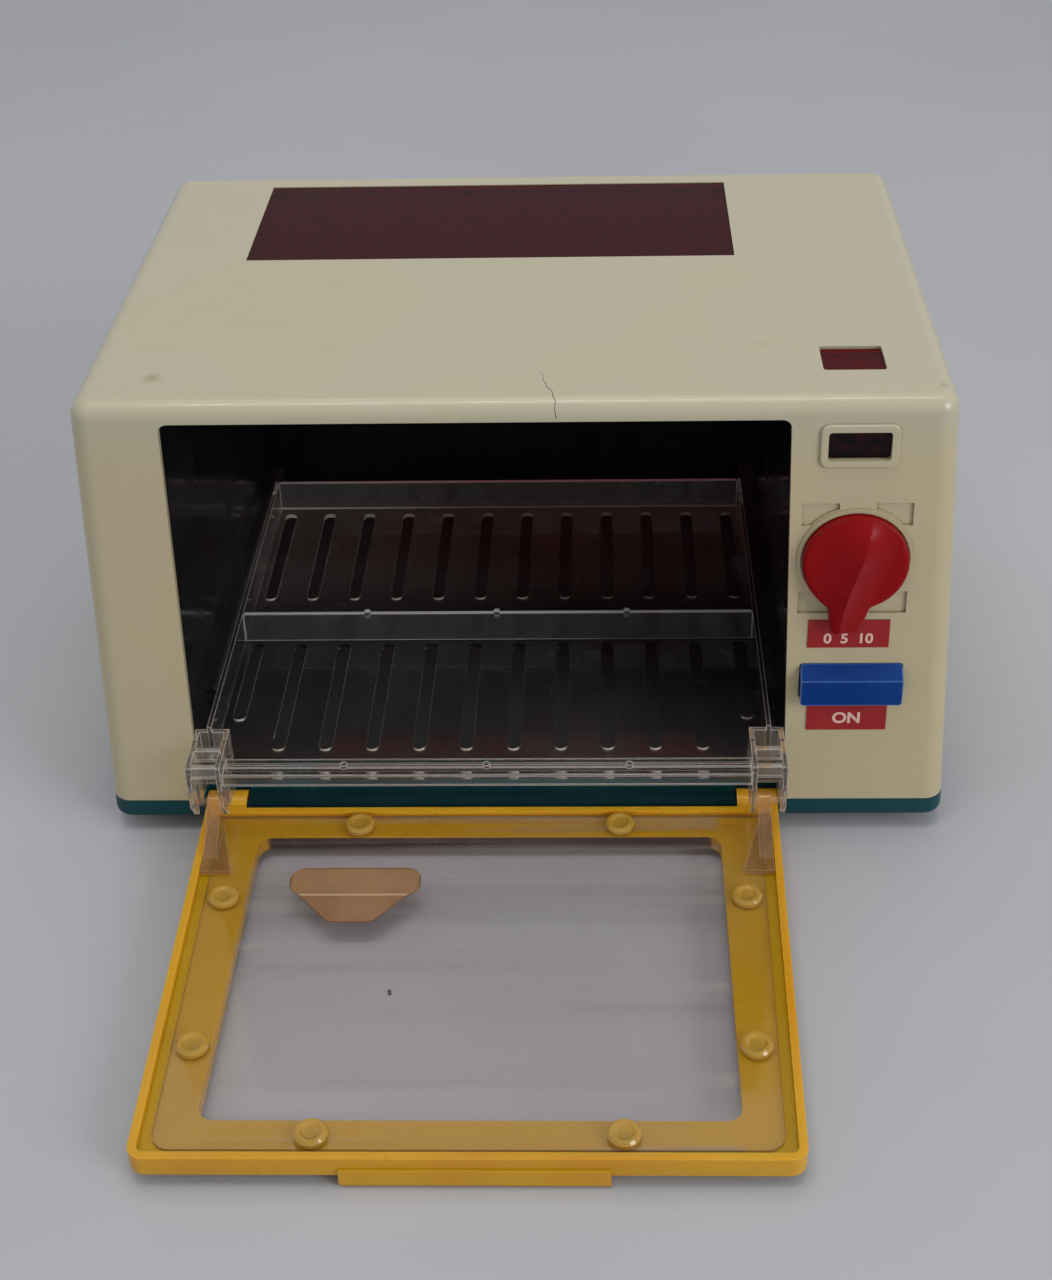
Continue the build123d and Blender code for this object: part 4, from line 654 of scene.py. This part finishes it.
def dress_all_nodes():
    """Every node gets its slot's finish; the lamp's windows and the door's clear pieces have their own."""
    finishes = {slot: maker() for slot, maker in MAKERS.items()}
    for part in frame["record"]["subparts"]:
        dress(part["node"], finishes[part["material_slot"]])
    # The lamp's two windows are lit and shaded copies of one red, with their light and shade painted in.
    dress("lamp_window_top", red_window("lamp_window_lit", (176, 18, 28), (240, 44, 52)))
    dress("lamp_window_front", red_window("lamp_window_shaded", (34, 6, 14), (110, 12, 22)))
    dress("door_pane", clear_sheet())
    dress("pane_rivets", clear_rivet())
    arm = clear_arm()
    dress("door_arm_left", arm)
    dress("door_arm_right", arm)
    return finishes


def face_matrix(place):
    """Axes on the leaning front face at a place: x right, y up the face, z outwards."""
    right = Vector((1, 0, 0))
    out = Vector((0, -cos(FACE_LEAN), sin(FACE_LEAN)))
    up = out.cross(right)
    return Matrix.Translation(place) @ Matrix((right, up, out)).transposed().to_4x4()


def lettering(name, text, plate, drop, size, boldness, ink):
    """Raised letters on a plate of the front face, a drop below the middle of the plate's own box."""
    low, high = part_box(plate)
    curve = bpy.data.curves.new(name, "FONT")
    curve.body = text
    curve.size = size
    curve.align_x = "CENTER"
    curve.align_y = "CENTER"
    curve.offset = boldness
    curve.extrude = LETTER_HEIGHT
    letters = new_object(name, curve)
    middle = (low + high) / 2
    height = middle.z - drop
    front = low.y + (height - low.z) * tan(FACE_LEAN)
    letters.matrix_world = face_matrix(Vector((middle.x, front - LETTER_GAP, height)))
    curve.materials.append(ink)
    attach(letters, "housing")


def pointer_half(up):
    """Half width of the knob's pointer, which widens towards its neck."""
    share = (up + POINTER_REACH) / (POINTER_REACH - POINTER_NECK_DROP)
    return POINTER_TIP + (POINTER_NECK - POINTER_TIP) * share


def inside_knob(across, up):
    """Distance in from the outline of the knob's disc or of its pointer."""
    return max(KNOB_RADIUS - hypot(across, up), min(pointer_half(up) - abs(across), up + POINTER_REACH))


def knob_half(up):
    """Half width of the knob's outline at a height up its face."""
    disc = sqrt(max(KNOB_RADIUS**2 - up**2, 0))
    return max(disc, pointer_half(up)) if up < -KNOB_RADIUS / 2 else disc


def knob_ridge(up):
    """Place across the knob of the grip's ridge, which sways from one side to the other."""
    sway = RIDGE_SWAY * sin(pi * max(-1, min(1, up / KNOB_RADIUS)) / 2 + RIDGE_TURN)
    limit = knob_half(up) / 2
    return max(-limit, min(limit, sway))


def knob_height(across, up):
    """Height of the knob's face: a grip with two broad hollow sides, and a rounded rim."""
    top_fade = min(1, (KNOB_RADIUS - up) / (GRIP_TOP_FADE * KNOB_RADIUS))
    tip_fade = min(1, 0.5 + 0.5 * (up + POINTER_REACH) / (POINTER_REACH - KNOB_RADIUS / 2))
    crest = GRIP_HEIGHT * sin(pi / 2 * top_fade) * tip_fade
    gap = across - knob_ridge(up)
    foot = GRIP_RIGHT_FOOT if gap > 0 else GRIP_LEFT_FOOT
    roof = crest * max(0, 1 - abs(gap) / foot) ** GRIP_HOLLOW
    inward = max(0, min(KNOB_ROUND, inside_knob(across, up)))
    return KNOB_FACE + roof - KNOB_ROUND + sqrt(max(0, KNOB_ROUND**2 - (KNOB_ROUND - inward) ** 2))


def knob_rows(mesh):
    """Rows of points on the knob's face, closer together towards its outline."""
    grid = []
    eased = [1 - cos(pi / 2 * k / KNOB_COLUMNS) for k in range(KNOB_COLUMNS + 1)]
    for n in range(KNOB_ROWS + 1):
        turn = KNOB_START + (pi - 2 * KNOB_START) * min(1, n / (KNOB_ROWS * DISC_ROW_SHARE))
        beyond = max(0, n / KNOB_ROWS - DISC_ROW_SHARE) / (1 - DISC_ROW_SHARE)
        up = KNOB_RADIUS * cos(turn)
        if beyond > 0:
            up = -KNOB_RADIUS - (POINTER_REACH - KNOB_RADIUS) * beyond
        half = knob_half(up)
        ridge = knob_ridge(up)
        places = [-half + (half + ridge) * share for share in eased]
        places += [half - (half - ridge) * share for share in reversed(eased[:-1])]
        grid.append([mesh.verts.new((x, up, knob_height(x, up))) for x in places])
    return grid


def knob(material):
    """Timer knob: disc, pointer and a two-sided grip, over a neck that goes in through the shell."""
    low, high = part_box("timer_knob")
    centre = Vector(joint_named("timer_turn")["pos_m"])
    mesh = bmesh.new()
    grid = knob_rows(mesh)
    feet = []
    for row in grid:
        depth = KNOB_BACK if row[0].co.y > -KNOB_RADIUS else POINTER_BACK
        feet.append([mesh.verts.new((vertex.co.x, vertex.co.y, depth)) for vertex in row])
    for upper, lower in zip(grid, grid[1:]):
        for k in range(2 * KNOB_COLUMNS):
            mesh.faces.new((upper[k], lower[k], lower[k + 1], upper[k + 1]))
    for upper, lower in zip(feet, feet[1:]):
        for k in range(2 * KNOB_COLUMNS):
            mesh.faces.new((upper[k], upper[k + 1], lower[k + 1], lower[k]))
    for n in range(KNOB_ROWS):
        mesh.faces.new((grid[n][0], feet[n][0], feet[n + 1][0], grid[n + 1][0]))
        mesh.faces.new((grid[n][-1], grid[n + 1][-1], feet[n + 1][-1], feet[n][-1]))
    for k in range(2 * KNOB_COLUMNS):
        mesh.faces.new((grid[0][k], grid[0][k + 1], feet[0][k + 1], feet[0][k]))
        mesh.faces.new((grid[-1][k], feet[-1][k], feet[-1][k + 1], grid[-1][k + 1]))
    neck_length = (high.y - centre.y) / cos(FACE_LEAN)
    bmesh.ops.create_cone(
        mesh,
        cap_ends=True,
        segments=NECK_SEGMENTS,
        radius1=NECK_RADIUS,
        radius2=NECK_RADIUS,
        depth=neck_length + KNOB_FACE / 2,
        matrix=Matrix.Translation((0, 0, KNOB_FACE / 4 - neck_length / 2)),
    )
    bmesh.ops.recalc_face_normals(mesh, faces=mesh.faces)
    data = bpy.data.meshes.new("timer_knob_moulding")
    mesh.to_mesh(data)
    mesh.free()
    data.transform(face_matrix(centre) @ Matrix.Rotation(-GRIP_TURN, 4, "Z"))
    data.shade_smooth()
    data.set_sharp_from_angle(angle=SHARP_ANGLE)
    data.materials.append(material)
    moulding = new_object("timer_knob_moulding", data)
    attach(moulding, "timer_dial")
    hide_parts("timer_knob")


def coil():
    """Spring behind the power button, copied into a mesh of its own and fixed to the housing."""
    spring = new_object("power_coil", nodes["button_spring"].data.copy())
    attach(spring, "housing")
    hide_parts("button_spring")
    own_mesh(spring)


def over_front_edge(run):
    """Place and outward direction on the roof's rounded front edge, a run on from the roof's flat."""
    low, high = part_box("outer_shell")
    bend = pi / 2 - FACE_LEAN
    face_top = low.y + (high.z - low.z) * tan(FACE_LEAN)
    centre = Vector((0, face_top + ROOF_EDGE_RADIUS * tan(bend / 2), high.z - ROOF_EDGE_RADIUS))
    on_bend = max(0, min(run, bend * ROOF_EDGE_RADIUS))
    turn = on_bend / ROOF_EDGE_RADIUS
    out = Vector((0, -sin(turn), cos(turn)))
    along = Vector((0, -cos(turn), -sin(turn)))
    return centre + out * ROOF_EDGE_RADIUS + along * (run - on_bend), out


def hairline(name, route, widths, material, body):
    """Thin dark strip that follows the roof and its front edge; the route holds x and run."""
    mesh = bpy.data.meshes.new(name)
    places = []
    for x, run in route:
        place, out = over_front_edge(run)
        places.append((Vector((x, place.y, place.z)) + out * LINE_GAP, out))
    vertices = []
    for n, (place, out) in enumerate(places):
        before = places[max(n - 1, 0)][0]
        after = places[min(n + 1, len(places) - 1)][0]
        across = out.cross(after - before).normalized() * widths[n] / 2
        vertices += [place + across, place - across]
    faces = [(2 * n, 2 * n + 1, 2 * n + 3, 2 * n + 2) for n in range(len(places) - 1)]
    mesh.from_pydata(vertices, [], faces)
    strip = new_object(name, mesh)
    mesh.materials.append(material)
    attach(strip, body)


def crack():
    """Hairline crack that runs back from the mouth over the roof's front edge."""
    finish = Finish("crack_shadow", linear(74, 62, 44), 0.7)
    finish.tint(finish.spread(finish.noise(400, 4), 0.4, 0.6, 0, 0.7), linear(120, 106, 78))
    route = []
    widths = []
    for n, (start, end) in enumerate(zip(CRACK_PLACES, CRACK_PLACES[1:])):
        for step in range(CRACK_STEPS):
            share = step / CRACK_STEPS
            wave = sin(WAVER_TURNS[0] * (n + share)) * sin(WAVER_TURNS[1] * (n + share) + 1)
            x = start[0] + (end[0] - start[0]) * share + CRACK_WAVER * wave
            run = start[1] + (end[1] - start[1]) * share
            route.append((x, run))
            opened = min(1, (n + share) / CRACK_OPENING)
            widths.append(CRACK_WIDTH * (CRACK_START_SHARE + (1 - CRACK_START_SHARE) * opened))
    hairline("roof_crack", route, widths, finish.material, "housing")


def camera():
    """Camera at the photograph's angle, with its focal length and principal point."""
    forward = Vector((sin(CAMERA_YAW), cos(CAMERA_YAW), 0))
    right = Vector((cos(CAMERA_YAW), -sin(CAMERA_YAW), 0))
    up = Vector((0, 0, 1))
    aim = cos(CAMERA_PITCH) * forward - sin(CAMERA_PITCH) * up
    lifted = cos(CAMERA_PITCH) * up + sin(CAMERA_PITCH) * forward
    side = cos(CAMERA_ROLL) * right + sin(CAMERA_ROLL) * lifted
    top = -sin(CAMERA_ROLL) * right + cos(CAMERA_ROLL) * lifted
    data = bpy.data.cameras.new("camera")
    data.sensor_width = SENSOR
    data.lens = FOCAL_PX / PHOTO_HEIGHT * SENSOR
    data.shift_x = SHIFT_X_PX / PHOTO_HEIGHT
    data.shift_y = SHIFT_Y_PX / PHOTO_HEIGHT
    data.clip_start = CLIP_START
    viewer = new_object("camera", data)
    axes = Matrix((side, top, -aim)).transposed().to_4x4()
    viewer.matrix_world = Matrix.Translation(CAMERA_PLACE) @ axes
    bpy.context.scene.camera = viewer


def floor():
    """Pale floor, large enough to fill the view."""
    half = FLOOR_HALF
    corners = [(-half, -half, 0), (half, -half, 0), (half, half, 0), (-half, half, 0)]
    mesh = bpy.data.meshes.new("floor")
    mesh.from_pydata(corners, [], [(0, 1, 2, 3)])
    ground = new_object("floor", mesh)
    finish = Finish("floor", linear(180, 181, 185), 0.6, Specular_IOR_Level=0.2)
    finish.tint(finish.spread(finish.noise(3, 5), 0.35, 0.7, 0, 0.5), linear(170, 172, 177))
    mesh.materials.append(finish.material)


def lamp(name, place, size, power, color):
    """Soft lamp, a rectangle that faces the object."""
    data = bpy.data.lights.new(name, "AREA")
    data.shape = "RECTANGLE"
    data.size, data.size_y = size
    data.energy = power
    data.color = color
    direction = Vector(LAMP_TARGET) - Vector(place)
    turned = direction.to_track_quat("-Z", "Y").to_matrix().to_4x4()
    new_object(name, data).matrix_world = Matrix.Translation(place) @ turned


def light():
    """Even pale surroundings, two lamps overhead and a window's light from the right."""
    world = bpy.data.worlds.new("world")
    bpy.context.scene.world = world
    world.use_nodes = True
    sky = world.node_tree.nodes["Background"]
    sky.inputs["Color"].default_value = WORLD_COLOR
    sky.inputs["Strength"].default_value = WORLD_STRENGTH
    lamp("ceiling_lamp", place=(-0.1, -0.05, 1.7), size=(1.4, 0.9), power=5.8, color=CEILING_COLOR)
    lamp("tube_lamp", place=(0.05, -0.25, 1.75), size=(1.2, 0.05), power=3.4, color=CEILING_COLOR)
    lamp("window_light", place=(1.5, -1.25, 0.85), size=(0.9, 0.8), power=15.5, color=WINDOW_COLOR)


bpy.context.scene.view_settings.view_transform = "Standard"
finishes = dress_all_nodes()
knob(finishes["red_plastic"])
coil()
ink = letter_ink()
lettering("timer_numbers", "0  5  10", "timer_label", drop=2 * MM, size=5.4 * MM, boldness=0.16 * MM, ink=ink)
lettering("power_word", "ON", "power_label", drop=0.6 * MM, size=6.2 * MM, boldness=0.2 * MM, ink=ink)
crack()
camera()
floor()
light()
